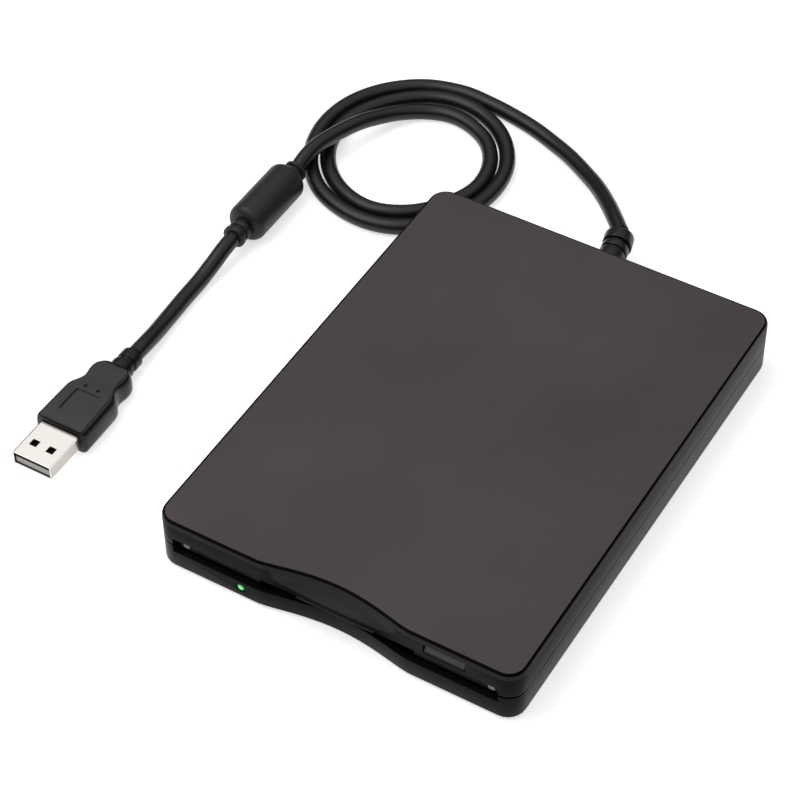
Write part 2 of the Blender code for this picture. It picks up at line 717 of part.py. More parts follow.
def chassis_screw_places():
    front = CHASSIS_FRONT + CHASSIS_SCREW_FRONT
    back = CHASSIS_BACK - CHASSIS_SCREW_BACK
    return [(side * CHASSIS_SCREW_X, y) for y in (front, back) for side in (-1, 1)]


def ear_places():
    """Inner and outer end of each of the four ears that carry the flaps' pins."""
    inner = FLAP_INNER_END - SEAT_GAP
    outer = FLAP_OUTER_END + SEAT_GAP
    return [
        (inner - EAR_THICK, inner),
        (outer, outer + EAR_THICK),
        (-inner, -inner + EAR_THICK),
        (-outer - EAR_THICK, -outer),
    ]


def make_upper_cover(material):
    """Roof, walls and scooped front lip in one moulding, open underneath."""
    edge = PARTING_Z + PARTING_GROOVE / 2
    rebate_top = PARTING_Z + TONGUE_RISE + SEAT_GAP
    rebate_inset = WALL - TONGUE_THICK - SEAT_GAP
    bevel_start = CASE_TOP - TOP_BEVEL
    bevel_middle = TOP_BEVEL * (1 - math.sqrt(0.5))
    cover = stack(
        "upper_cover",
        [
            case_ring(ROOF_UNDER, WALL, 1),
            case_ring(rebate_top, WALL, 1),
            case_ring(rebate_top, rebate_inset, 0),
            case_ring(edge, rebate_inset, 0),
            case_ring(edge, PARTING_CHAMFER, 0),
            case_ring(edge + PARTING_CHAMFER, 0, 0),
            case_ring(LINTEL_Z, 0, 0),
            case_ring(LINTEL_Z + SCOOP_SLOPE_RISE, 0, SCOOP_FOOT_SHARE),
            case_ring(bevel_start, 0, 1),
            case_ring(CASE_TOP - bevel_middle, bevel_middle, 1),
            case_ring(CASE_TOP, TOP_BEVEL, 1),
        ],
        material,
        True,
    )
    cut(cover, slot_cutter("slot_in_upper"))
    ear_low = HINGE_Z - FLAP_PIN_RADIUS - RUNNING_GAP - EAR_WALL
    for number, (left, right) in enumerate(ear_places()):
        wall_inside = FRONT_Y + WALL
        back = HINGE_Y + EAR_DEPTH
        ear = block(
            f"ear_{number}",
            (left, wall_inside - SEAT_GAP, ear_low),
            (right, back, ROOF_UNDER + ROOF / 2),
        )
        add(cover, ear)
        bore = rod(
            f"ear_bore_{number}",
            (HINGE_Y, HINGE_Z),
            FLAP_PIN_RADIUS + RUNNING_GAP,
            left - RUNNING_GAP,
            right + RUNNING_GAP,
            "X",
            sides=SMALL_SIDES,
        )
        cut(cover, bore)
    for number, side in enumerate((-1, 1)):
        boss = rod(
            f"roof_boss_{number}",
            (side * CASE_SCREW_X, CASE_SCREW_Y),
            BOSS_RADIUS,
            PARTING_Z + SEAT_GAP / 2,
            ROOF_UNDER + ROOF / 2,
            sides=SMALL_SIDES,
        )
        add(cover, boss)
        hole = rod(
            f"roof_boss_hole_{number}",
            (side * CASE_SCREW_X, CASE_SCREW_Y),
            SCREW_RADIUS + RUNNING_GAP,
            CASE_BASE,
            CASE_SCREW_TIP + SEAT_GAP,
            sides=SMALL_SIDES,
        )
        cut(cover, hole)
    window = block(
        "button_window",
        (
            BUTTON_X - BUTTON_WIDTH / 2 - SEAT_GAP,
            FRONT_Y - OVERRUN,
            BUTTON_LOW_Z - SEAT_GAP,
        ),
        (
            BUTTON_X + BUTTON_WIDTH / 2 + SEAT_GAP,
            FRONT_Y + WALL + OVERRUN,
            BUTTON_HIGH_Z + SEAT_GAP,
        ),
    )
    cut(cover, window, relief_bore("relief_bore_in_upper"))
    return cover


def make_lower_cover(material):
    """Tray of the case, with the tongue that the upper cover closes over."""
    edge = PARTING_Z - PARTING_GROOVE / 2
    tongue_top = PARTING_Z + TONGUE_RISE
    tongue_inset = WALL - TONGUE_THICK
    share = WAVE_LOWER_SHARE
    bevel_middle = BOTTOM_BEVEL * (1 - math.sqrt(0.5))
    cover = stack(
        "lower_cover",
        [
            case_ring(FLOOR_TOP, WALL, share),
            case_ring(tongue_top, WALL, share),
            case_ring(tongue_top, tongue_inset, share),
            case_ring(edge, tongue_inset, share),
            case_ring(edge, PARTING_CHAMFER, share),
            case_ring(edge - PARTING_CHAMFER, 0, share),
            case_ring(CASE_BASE + BOTTOM_BEVEL, 0, share),
            case_ring(CASE_BASE + bevel_middle, bevel_middle, share),
            case_ring(CASE_BASE, BOTTOM_BEVEL, share),
        ],
        material,
        True,
    )
    for number, side in enumerate((-1, 1)):
        boss = rod(
            f"floor_boss_{number}",
            (side * CASE_SCREW_X, CASE_SCREW_Y),
            BOSS_RADIUS,
            FLOOR_TOP - CASE_FLOOR / 2,
            PARTING_Z - SEAT_GAP / 2,
            sides=SMALL_SIDES,
        )
        add(cover, boss)
    for number, (x, side) in enumerate(((USB_BOARD_LEFT, 1), (USB_BOARD_RIGHT, -1))):
        post = rod(
            f"bridge_post_{number}",
            (x + side * BOSS_RADIUS, (USB_BOARD_FRONT + USB_BOARD_BACK) / 2),
            BOSS_RADIUS,
            FLOOR_TOP - CASE_FLOOR / 2,
            USB_BOARD_Z - SEAT_GAP,
            sides=SMALL_SIDES,
        )
        add(cover, post)
    screw_places = [(side * CASE_SCREW_X, CASE_SCREW_Y) for side in (-1, 1)]
    screw_places += chassis_screw_places()
    for number, place in enumerate(screw_places):
        hole = rod(
            f"screw_hole_{number}",
            place,
            SCREW_RADIUS + RUNNING_GAP,
            CASE_BASE - OVERRUN,
            PARTING_Z + OVERRUN,
            sides=SMALL_SIDES,
        )
        recess = rod(
            f"screw_recess_{number}",
            place,
            SCREW_HEAD_RADIUS + RUNNING_GAP,
            CASE_BASE - OVERRUN,
            CASE_BASE + SCREW_RECESS + SCREW_HEAD_HEIGHT + RUNNING_GAP,
            sides=SMALL_SIDES,
        )
        cut(cover, hole, recess)
    for number, place in enumerate(case_corners(FOOT_X, FOOT_Y)):
        pocket = rod(
            f"foot_pocket_{number}",
            place,
            FOOT_RADIUS + SEAT_GAP,
            CASE_BASE - OVERRUN,
            CASE_BASE + FOOT_POCKET,
        )
        cut(cover, pocket)
    lamp_hole = rod(
        "lamp_hole",
        (LAMP_X, LAMP_Z),
        LAMP_RADIUS + RUNNING_GAP,
        FRONT_Y - OVERRUN,
        FRONT_Y + WALL + OVERRUN,
        "Y",
        sides=SMALL_SIDES,
    )
    cut(cover, slot_cutter("slot_in_lower"), lamp_hole, relief_bore("relief_bore_in_lower"))
    return cover


def make_flaps(material):
    """Two sprung flaps that hang behind the slot, either side of its middle, and keep dust out."""
    for side, name in ((-1, "left_dust_flap"), (1, "right_dust_flap")):
        ends = sorted((side * FLAP_INNER_END, side * FLAP_OUTER_END))
        flap = block(
            name,
            (ends[0], HINGE_Y - FLAP_THICK / 2, SILL_Z + SEAT_GAP),
            (ends[1], HINGE_Y + FLAP_THICK / 2, HINGE_Z),
            material,
        )
        barrel = rod(
            name + "_barrel",
            (HINGE_Y, HINGE_Z),
            FLAP_BARREL_RADIUS,
            ends[0],
            ends[1],
            "X",
            sides=SMALL_SIDES,
        )
        pins = rod(
            name + "_pins",
            (HINGE_Y, HINGE_Z),
            FLAP_PIN_RADIUS - RUNNING_GAP,
            ends[0] - FLAP_PIN_LENGTH,
            ends[1] + FLAP_PIN_LENGTH,
            "X",
            sides=SMALL_SIDES,
        )
        add(flap, barrel, pins)
        hang(pivot(name + "_hinge", (0, HINGE_Y, HINGE_Z)), flap)


def make_lamp(lens, board_material):
    """Green lamp behind the hole in the front wall, on its own small board."""
    front = FRONT_Y + LAMP_SETBACK
    back = front + LAMP_LENGTH
    turned(
        "activity_lamp",
        (LAMP_X, LAMP_Z),
        [
            (LAMP_RADIUS - RUNNING_GAP, front),
            (LAMP_RADIUS, front + RUNNING_GAP),
            (LAMP_RADIUS, back - LAMP_FLANGE_THICK),
            (LAMP_FLANGE_RADIUS, back - LAMP_FLANGE_THICK),
            (LAMP_FLANGE_RADIUS, back),
        ],
        "Y",
        lens,
        SMALL_SIDES,
    )
    block(
        "lamp_board",
        (LAMP_X - LAMP_BOARD_WIDTH / 2, back + SEAT_GAP, FLOOR_TOP + SEAT_GAP),
        (LAMP_X + LAMP_BOARD_WIDTH / 2, back + SEAT_GAP + LAMP_BOARD_THICK, SILL_Z - SEAT_GAP),
        board_material,
    )


def make_feet(material):
    for number, place in enumerate(case_corners(FOOT_X, FOOT_Y), 1):
        turned(
            f"foot_{number}",
            place,
            [
                (FOOT_RADIUS - FOOT_CHAMFER, 0),
                (FOOT_RADIUS, FOOT_CHAMFER),
                (FOOT_RADIUS, CASE_BASE + FOOT_POCKET - SEAT_GAP),
            ],
            "Z",
            material,
        )


def make_screw(name, place, tip, material):
    """Pan-head screw driven up from below, with a cross slot in its head."""
    low = CASE_SCREW_FOOT
    shoulder = low + SCREW_HEAD_HEIGHT
    screw = turned(
        name,
        place,
        [
            (SCREW_HEAD_RADIUS, low),
            (SCREW_HEAD_RADIUS, shoulder),
            (SCREW_RADIUS, shoulder),
            (SCREW_RADIUS, tip - SCREW_RADIUS),
            (SCREW_RADIUS / 2, tip),
        ],
        "Z",
        material,
        SMALL_SIDES,
    )
    reach = SCREW_RADIUS
    half = SCREW_SLOT_WIDTH / 2
    x, y = place
    cross = [(half, -half), (reach, -half), (reach, half), (half, half)]
    outline = []
    for quarter in range(4):
        c, s = round(math.cos(quarter * math.pi / 2)), round(math.sin(quarter * math.pi / 2))
        outline += [(x + a * c - b * s, y + a * s + b * c) for a, b in cross[1:]]
    slot = prism(name + "_cross", outline, low - OVERRUN, low + SCREW_SLOT_DEPTH)
    cut(screw, slot)


def make_screws(material):
    for number, side in enumerate((-1, 1), 1):
        place = (side * CASE_SCREW_X, CASE_SCREW_Y)
        make_screw(f"case_screw_{number}", place, CASE_SCREW_TIP, material)
    for number, place in enumerate(chassis_screw_places(), 1):
        make_screw(f"chassis_screw_{number}", place, CHASSIS_TOP, material)


def make_chassis(material):
    """Folded steel tray: base plate with the motor opening, side walls with notches for the holder's pins."""
    x = CHASSIS_HALF_WIDTH
    t = CHASSIS_SHEET
    low, high, top = CHASSIS_UNDER, CHASSIS_TOP, CHASSIS_WALL_TOP
    right = [(x, low), (x, top), (x - t, top), (x - t, high)]
    outline = right + [(-across, z) for across, z in reversed(right)]
    chassis = prism("chassis", outline, CHASSIS_FRONT, CHASSIS_BACK, "Y", material)
    opening = rod(
        "motor_opening",
        (0, SPINDLE_Y),
        MOTOR_BOARD_RADIUS + CLEARANCE,
        low - OVERRUN,
        high + OVERRUN,
        sides=36,
    )
    tail = block(
        "motor_tail_opening",
        (
            -MOTOR_TAIL_HALF_WIDTH - SEAT_GAP,
            MOTOR_TAIL_FRONT - CLEARANCE,
            low - OVERRUN,
        ),
        (MOTOR_TAIL_HALF_WIDTH + SEAT_GAP, SPINDLE_Y, high + OVERRUN),
    )
    cut(chassis, opening, tail)
    for number, place in enumerate(chassis_screw_places()):
        hole = rod(
            f"chassis_hole_{number}",
            place,
            SCREW_RADIUS + RUNNING_GAP,
            low - OVERRUN,
            high + OVERRUN,
            sides=SMALL_SIDES,
        )
        cut(chassis, hole)
    room = HOLDER_PIN_RADIUS + HOLDER_PIN_NOTCH_GAP
    for number, y in enumerate((HOLDER_PIN_FRONT_Y, HOLDER_PIN_BACK_Y)):
        notch = capsule((y, HOLDER_PIN_Z - HOLDER_DROP), (y, top + OVERRUN), room)
        cut(chassis, prism(f"pin_notch_{number}", notch, -x - OVERRUN, x + OVERRUN, "X"))
    return chassis


def make_spindle_motor(board_material, core_material, rotor_material):
    """Flat brushless motor: board, toothed stator, and the rotor that carries the hub and drive pin."""
    centre = (0, SPINDLE_Y)
    board = rod(
        "motor_board", centre, MOTOR_BOARD_RADIUS, CHASSIS_UNDER, MOTOR_BOARD_TOP, "Z", board_material, 36
    )
    tail = block(
        "motor_board_tail",
        (-MOTOR_TAIL_HALF_WIDTH, MOTOR_TAIL_FRONT, CHASSIS_UNDER),
        (MOTOR_TAIL_HALF_WIDTH, SPINDLE_Y, MOTOR_BOARD_TOP),
    )
    add(board, tail)
    bearing = rod(
        "motor_bearing", centre, BEARING_RADIUS + SEAT_GAP, CHASSIS_UNDER - OVERRUN, MOTOR_BOARD_TOP + OVERRUN
    )
    cut(board, bearing)
    outline = []
    for tooth in range(STATOR_TEETH):
        middle = 2 * math.pi * tooth / STATOR_TEETH
        half = math.pi / STATOR_TEETH * STATOR_TOOTH_SHARE
        for radius, swing in (
            (STATOR_CORE_RADIUS, -half),
            (STATOR_REACH, -half),
            (STATOR_REACH, half),
            (STATOR_CORE_RADIUS, half),
        ):
            angle = middle + swing
            outline.append((radius * math.cos(angle), SPINDLE_Y + radius * math.sin(angle)))
    stator = prism("stator", outline, STATOR_UNDER, STATOR_TOP, "Z", core_material)
    cut(
        stator,
        rod("stator_bore", centre, BEARING_RADIUS + SEAT_GAP, STATOR_UNDER - OVERRUN, STATOR_TOP + OVERRUN),
    )
    skirt_inner = ROTOR_RADIUS - ROTOR_SKIRT_THICK
    rotor = turned(
        "spindle_rotor",
        centre,
        [
            (BEARING_RADIUS, CHASSIS_UNDER),
            (BEARING_RADIUS, ROTOR_UNDER),
            (skirt_inner, ROTOR_UNDER),
            (skirt_inner, ROTOR_UNDER - ROTOR_SKIRT),
            (ROTOR_RADIUS, ROTOR_UNDER - ROTOR_SKIRT),
            (ROTOR_RADIUS, ROTOR_TOP),
            (ROTOR_HUB_RADIUS, ROTOR_TOP),
            (ROTOR_HUB_RADIUS, ROTOR_HUB_TOP),
            (ROTOR_PIN_RADIUS, ROTOR_HUB_TOP),
            (ROTOR_PIN_RADIUS, ROTOR_PIN_TOP),
        ],
        "Z",
        rotor_material,
        36,
    )
    drive_pin = rod(
        "drive_pin",
        (DRIVE_PIN_OFFSET, SPINDLE_Y),
        DRIVE_PIN_RADIUS,
        ROTOR_TOP,
        ROTOR_PIN_TOP - RUNNING_GAP,
        sides=SMALL_SIDES,
    )
    add(rotor, drive_pin)
    hang(pivot("spindle", (0, SPINDLE_Y, ROTOR_TOP)), rotor)


def make_disk_holder(material):
    """Folded steel carrier that the disk slides into; four side pins lift and lower it."""
    xi, xo = HOLDER_INNER, HOLDER_OUTER
    lip = xo - HOLDER_FLANGE
    under, floor, roof, top = HOLDER_UNDER, HOLDER_FLOOR_Z, HOLDER_TOP_UNDER, HOLDER_TOP
    half = [(lip, under), (xo, under), (xo, top)]
    inner = [(xi, roof), (xi, floor), (lip, floor)]
    outline = half + [(-x, z) for x, z in reversed(half)]
    outline += [(-x, z) for x, z in reversed(inner)] + inner
    holder = prism("disk_holder", outline, HOLDER_FRONT, HOLDER_BACK, "Y", material)
    for number, (y, side) in enumerate(
        (y, side) for y in (HOLDER_PIN_FRONT_Y, HOLDER_PIN_BACK_Y) for side in (-1, 1)
    ):
        ends = sorted((side * (xo - SHEET / 2), side * (xo + HOLDER_PIN_LENGTH)))
        add(
            holder,
            rod(
                f"holder_pin_{number}",
                (y, HOLDER_PIN_Z),
                HOLDER_PIN_RADIUS,
                ends[0],
                ends[1],
                "X",
                sides=SMALL_SIDES,
            ),
        )
    window = block(
        "head_window",
        (-HEAD_WINDOW_HALF_WIDTH, HEAD_WINDOW_FRONT, roof - OVERRUN / 2),
        (HEAD_WINDOW_HALF_WIDTH, HOLDER_BACK + OVERRUN, top + OVERRUN),
    )
    cut(holder, window)
    first = math.radians(LEVER_REST_DEGREES)
    swing = math.radians(LEVER_SWING_DEGREES)
    room = LEVER_PIN_RADIUS + LEVER_SLOT_GAP
    steps = LEVER_SLOT_STEPS
    arc = []
    for radius, order in ((LEVER_REACH + room, 1), (LEVER_REACH - room, -1)):
        for i in range(steps + 1):
            share = i / steps if order > 0 else 1 - i / steps
            margin = room / LEVER_REACH
            angle = first - margin + (swing + 2 * margin) * share
            arc.append((LEVER_PIVOT_X + radius * math.cos(angle), LEVER_PIVOT_Y + radius * math.sin(angle)))
    cut(holder, prism("lever_slot", arc, roof - OVERRUN / 2, top + OVERRUN))
    stud = rod(
        "lever_stud",
        (LEVER_PIVOT_X, LEVER_PIVOT_Y),
        LEVER_PIVOT_RADIUS,
        top - SHEET / 2,
        LEVER_UNDER + SHEET + RUNNING_GAP,
        sides=SMALL_SIDES,
    )
    add(holder, stud)
    empty = pivot("holder_lift", (0, 0, HOLDER_PIN_Z))
    hang(empty, holder)
    return empty


def make_shutter_lever(material, holder_lift):
    """Flat lever on the holder whose pin slides the disk's shutter open."""
    angle = math.radians(LEVER_REST_DEGREES)
    tip = (LEVER_PIVOT_X + LEVER_REACH * math.cos(angle), LEVER_PIVOT_Y + LEVER_REACH * math.sin(angle))
    start = (LEVER_PIVOT_X, LEVER_PIVOT_Y)
    lever = prism(
        "shutter_lever",
        capsule(start, tip, LEVER_WIDTH / 2),
        LEVER_UNDER,
        LEVER_UNDER + SHEET,
        "Z",
        material,
    )
    pin = rod(
        "lever_pin", tip, LEVER_PIN_RADIUS, LEVER_PIN_FOOT_Z, LEVER_UNDER + SHEET / 2, sides=SMALL_SIDES
    )
    add(lever, pin)
    bore = rod(
        "lever_bore",
        start,
        LEVER_PIVOT_RADIUS + RUNNING_GAP,
        LEVER_UNDER - OVERRUN,
        LEVER_UNDER + OVERRUN,
        sides=SMALL_SIDES,
    )
    cut(lever, bore)
    empty = pivot("lever_hinge", (*start, LEVER_UNDER))
    empty.parent = holder_lift
    empty.location = Vector((*start, LEVER_UNDER)) - holder_lift.location
    lever.parent = empty
    lever.location = -Vector((*start, LEVER_UNDER))


def make_eject_slide(steel, button_material):
    """Steel slide over the holder, with ramps for its pins, and the button on its front tongue."""
    x = SLIDE_HALF_WIDTH
    t = SLIDE_SHEET
    top = SLIDE_TOP
    outline = [(-x, SLIDE_SKIRT_Z), (t - x, SLIDE_SKIRT_Z), (t - x, top - t), (x - t, top - t)]
    outline += [(x - t, SLIDE_SKIRT_Z), (x, SLIDE_SKIRT_Z), (x, top), (-x, top)]
    slide = prism("eject_slide", outline, SLIDE_FRONT, SLIDE_BACK, "Y", steel)
    opening = block(
        "slide_opening",
        (-x + SLIDE_RAIL, SLIDE_FRONT + SLIDE_BAND, top - t - OVERRUN / 2),
        (x - SLIDE_RAIL, SLIDE_BACK + OVERRUN, top + OVERRUN),
    )
    cut(slide, opening)
    room = HOLDER_PIN_RADIUS + SLIDE_SLOT_GAP
    for number, y in enumerate((HOLDER_PIN_FRONT_Y, HOLDER_PIN_BACK_Y)):
        ramp = capsule((y, HOLDER_PIN_Z), (y + EJECT_TRAVEL, HOLDER_PIN_Z - HOLDER_DROP), room)
        cut(slide, prism(f"ramp_{number}", ramp, -x - OVERRUN, x + OVERRUN, "X"))
    tongue = block(
        "slide_tongue",
        (BUTTON_X - BUTTON_STEM_WIDTH / 2, SLIDE_FRONT - SLIDE_TONGUE_LENGTH, SLIDE_UNDER),
        (BUTTON_X + BUTTON_STEM_WIDTH / 2, SLIDE_FRONT + t, top),
    )
    add(slide, tongue)
    left = BUTTON_X - BUTTON_WIDTH / 2
    right = BUTTON_X + BUTTON_WIDTH / 2
    front = FRONT_Y + BUTTON_SETBACK
    side_view = [
        (front, BUTTON_LOW_Z),
        (front + BUTTON_LENGTH, BUTTON_LOW_Z),
        (front + BUTTON_LENGTH, BUTTON_HIGH_Z),
        (front + BUTTON_SLANT, BUTTON_HIGH_Z),
    ]
    button = prism("eject_button", side_view, left, right, "X", button_material)
    stem_low = max(top + SEAT_GAP, BUTTON_LOW_Z)
    stem = block(
        "button_stem",
        (BUTTON_X - BUTTON_STEM_WIDTH / 2, front + BUTTON_LENGTH - BUTTON_SLANT, stem_low),
        (BUTTON_X + BUTTON_STEM_WIDTH / 2, front + BUTTON_LENGTH + BUTTON_STEM_LENGTH, CHASSIS_WALL_TOP),
    )
    add(button, stem)
    hang(pivot("eject_travel", (BUTTON_X, FRONT_Y, BUTTON_LOW_Z)), slide, button)


def helix(centre, radius, wire, turns, start, length, steps=9):
    """Points of a coil wound along Y."""
    points = []
    count = turns * steps
    for i in range(count + 1):
        angle = 2 * math.pi * i / steps
        points.append(
            (
                centre[0] + (radius - wire) * math.cos(angle),
                start + length * i / count,
                centre[1] + (radius - wire) * math.sin(angle),
            )
        )
    return points


def tube(name, points, radius, material, resolution=2):
    """A round cord along its points, with closed ends."""
    curve = bpy.data.curves.new(name, "CURVE")
    curve.dimensions = "3D"
    curve.bevel_depth = radius
    curve.bevel_resolution = resolution
    curve.use_fill_caps = True
    spline = curve.splines.new("POLY")
    spline.points.add(len(points) - 1)
    for point, place in zip(spline.points, points):
        point.co = (*place, 1.0)
    spline.use_smooth = True
    return keep(name, curve, material)


def make_eject_springs(material):
    """Pull springs beside the slide's band that draw it forward when the latch lets go."""
    z = SLIDE_TOP + SEAT_GAP + SPRING_RADIUS
    start = SLIDE_FRONT + SLIDE_BAND
    for side, name in ((-1, "left_eject_spring"), (1, "right_eject_spring")):
        centre = (side * SPRING_X, z)
        points = helix(centre, SPRING_RADIUS, SPRING_WIRE_RADIUS, SPRING_TURNS, start, SPRING_LENGTH)
        tube(name, points, SPRING_WIRE_RADIUS, material, 0)


def make_carriage(plastic, steel, ceramic):
    """Head carriage: lower arm, guide bush and screw follower, with the hinged upper arm over it."""
    front = HEAD_Y - HEAD_LENGTH / 2
    carriage = block(
        "head_carriage",
        (-CARRIAGE_HALF_WIDTH, front, CARRIAGE_UNDER),
        (CARRIAGE_HALF_WIDTH, CARRIAGE_BLOCK_BACK, CARRIAGE_ARM_TOP),
        plastic,
    )
    body = block(
        "carriage_block",
        (-CARRIAGE_HALF_WIDTH, CARRIAGE_BLOCK_FRONT, CARRIAGE_UNDER),
        (CARRIAGE_HALF_WIDTH, CARRIAGE_BLOCK_BACK, CARRIAGE_BLOCK_TOP_Z),
    )
    wing = block(
        "bush_wing",
        (GUIDE_ROD_X, CARRIAGE_BLOCK_FRONT, GUIDE_ROD_Z - GUIDE_ROD_RADIUS),
        (-CARRIAGE_HALF_WIDTH + SHEET, CARRIAGE_BLOCK_BACK, GUIDE_ROD_Z + GUIDE_ROD_RADIUS),
    )
    bush = rod(
        "guide_bush",
        (GUIDE_ROD_X, GUIDE_ROD_Z),
        BUSH_RADIUS,
        CARRIAGE_BLOCK_FRONT,
        CARRIAGE_BLOCK_BACK,
        "Y",
        sides=SMALL_SIDES,
    )
    follower = block(
        "screw_follower",
        (
            CARRIAGE_HALF_WIDTH - SHEET,
            ARM_PIVOT_Y - FOLLOWER_HALF_WIDTH,
            SCREW_Z - FOLLOWER_HALF_WIDTH / 2,
        ),
        (
            SCREW_X - LEAD_SCREW_RADIUS - SEAT_GAP,
            ARM_PIVOT_Y + FOLLOWER_HALF_WIDTH,
            SCREW_Z + FOLLOWER_HALF_WIDTH / 2,
        ),
    )
    ears = []
    ear_inner = ARM_HALF_WIDTH + SEAT_GAP
    for side in (-1, 1):
        ends = sorted((side * ear_inner, side * CARRIAGE_HALF_WIDTH))
        ears.append(
            block(
                f"arm_ear_{'left' if side < 0 else 'right'}",
                (
                    ends[0],
                    ARM_PIVOT_Y - 2 * ARM_PIVOT_RADIUS,
                    CARRIAGE_BLOCK_TOP_Z - SHEET,
                ),
                (
                    ends[1],
                    ARM_PIVOT_Y + 2 * ARM_PIVOT_RADIUS,
                    ARM_PIVOT_Z + 2 * ARM_PIVOT_RADIUS,
                ),
            )
        )
    seat = block(
        "lower_head_seat",
        (-HEAD_WIDTH / 2, front, CARRIAGE_UNDER),
        (HEAD_WIDTH / 2, front + HEAD_LENGTH, CARRIAGE_ARM_TOP + SHEET / 2),
    )
    add(carriage, body, wing, bush, follower, seat, *ears)
    rod_bore = rod(
        "guide_bore",
        (GUIDE_ROD_X, GUIDE_ROD_Z),
        GUIDE_ROD_RADIUS + RUNNING_GAP,
        CARRIAGE_BLOCK_FRONT - OVERRUN,
        CARRIAGE_BLOCK_BACK + OVERRUN,
        "Y",
        sides=SMALL_SIDES,
    )
    pivot_bore = rod(
        "arm_pivot_bore",
        (ARM_PIVOT_Y, ARM_PIVOT_Z),
        ARM_PIVOT_RADIUS + RUNNING_GAP,
        -CARRIAGE_HALF_WIDTH - OVERRUN,
        CARRIAGE_HALF_WIDTH + OVERRUN,
        "X",
        sides=SMALL_SIDES,
    )
    cut(carriage, rod_bore, pivot_bore)
    lower_head = block(
        "lower_head",
        (-HEAD_WIDTH / 2, front, CARRIAGE_ARM_TOP + SHEET / 2 + RUNNING_GAP),
        (HEAD_WIDTH / 2, front + HEAD_LENGTH, LOWER_HEAD_TOP_Z),
        ceramic,
    )
    arm = block(
        "upper_head_arm",
        (-ARM_HALF_WIDTH, front - SHEET, ARM_UNDER),
        (ARM_HALF_WIDTH, ARM_PIVOT_Y + 2 * ARM_PIVOT_RADIUS, ARM_TOP),
        steel,
    )
    knuckle = rod(
        "arm_knuckle",
        (ARM_PIVOT_Y, ARM_PIVOT_Z),
        KNUCKLE_RADIUS,
        -ARM_HALF_WIDTH,
        ARM_HALF_WIDTH,
        "X",
        sides=SMALL_SIDES,
    )
    knuckle_neck = block(
        "arm_knuckle_neck",
        (-ARM_HALF_WIDTH, ARM_PIVOT_Y - ARM_PIVOT_RADIUS, ARM_PIVOT_Z),
        (ARM_HALF_WIDTH, ARM_PIVOT_Y + ARM_PIVOT_RADIUS, ARM_TOP - SHEET / 2),
    )
    arm_pin = rod(
        "arm_pivot_pin",
        (ARM_PIVOT_Y, ARM_PIVOT_Z),
        ARM_PIVOT_RADIUS,
        -CARRIAGE_HALF_WIDTH,
        CARRIAGE_HALF_WIDTH,
        "X",
        sides=SMALL_SIDES,
    )
    add(arm, knuckle, knuckle_neck, arm_pin)
    upper_head = block(
        "upper_head",
        (-HEAD_WIDTH / 2, front, UPPER_HEAD_FOOT_Z),
        (HEAD_WIDTH / 2, front + HEAD_LENGTH, ARM_UNDER - RUNNING_GAP),
        ceramic,
    )
    travel = pivot("head_travel", (0, HEAD_Y, CARRIAGE_UNDER))
    hang(travel, carriage, lower_head)
    hinge = pivot("arm_hinge", (0, ARM_PIVOT_Y, ARM_PIVOT_Z))
    hinge.parent = travel
    hinge.location = Vector((0, ARM_PIVOT_Y, ARM_PIVOT_Z)) - travel.location
    for part in (arm, upper_head):
        part.parent = hinge
        part.location = -Vector((0, ARM_PIVOT_Y, ARM_PIVOT_Z))


def make_guide_rod(steel, plastic):
    centre = (GUIDE_ROD_X, GUIDE_ROD_Z)
    rod("guide_rod", centre, GUIDE_ROD_RADIUS, GUIDE_ROD_FRONT, GUIDE_ROD_BACK, "Y", steel, SMALL_SIDES)
    reach = ROD_CLIP_WIDTH / 2
    room = GUIDE_ROD_RADIUS + RUNNING_GAP
    for name, end, side in (
        ("front_rod_clip", GUIDE_ROD_FRONT - SEAT_GAP, 1),
        ("rear_rod_clip", GUIDE_ROD_BACK + SEAT_GAP, -1),
    ):
        ends = sorted((end, end + side * ROD_CLIP_DEPTH))
        clip = block(
            name,
            (GUIDE_ROD_X - reach, ends[0], CHASSIS_TOP + SEAT_GAP),
            (GUIDE_ROD_X + reach, ends[1], GUIDE_ROD_Z + GUIDE_ROD_RADIUS),
            plastic,
        )
        groove = capsule(
            (GUIDE_ROD_X, GUIDE_ROD_Z), (GUIDE_ROD_X, GUIDE_ROD_Z + GUIDE_ROD_RADIUS + OVERRUN), room
        )
        start = end + side * RUNNING_GAP
        ends = sorted((start, end + side * (ROD_CLIP_DEPTH + OVERRUN)))
        cut(clip, prism(name + "_groove", groove, ends[0], ends[1], "Y"))


def screw_thread(name, centre, radius, groove, pitch, start, end, sides):
    """A shaft with a round groove wound along it: each ring's radius dips where the groove passes."""
    rings = []
    count = round((end - start) / pitch * LEAD_SCREW_TURN_STEPS)
    for i in range(count + 1):
        place = start + (end - start) * i / count
        lead = 2 * math.pi * (place - start) / pitch
        ring = []
        for k in range(sides):
            angle = 2 * math.pi * k / sides
            dip = max(0.0, math.cos(angle - lead)) ** 6
            r = radius - groove * dip
            ring.append((centre[0] + r * math.cos(angle), place, centre[1] + r * math.sin(angle)))
        rings.append(ring)
    return stack(name, rings, None, True)


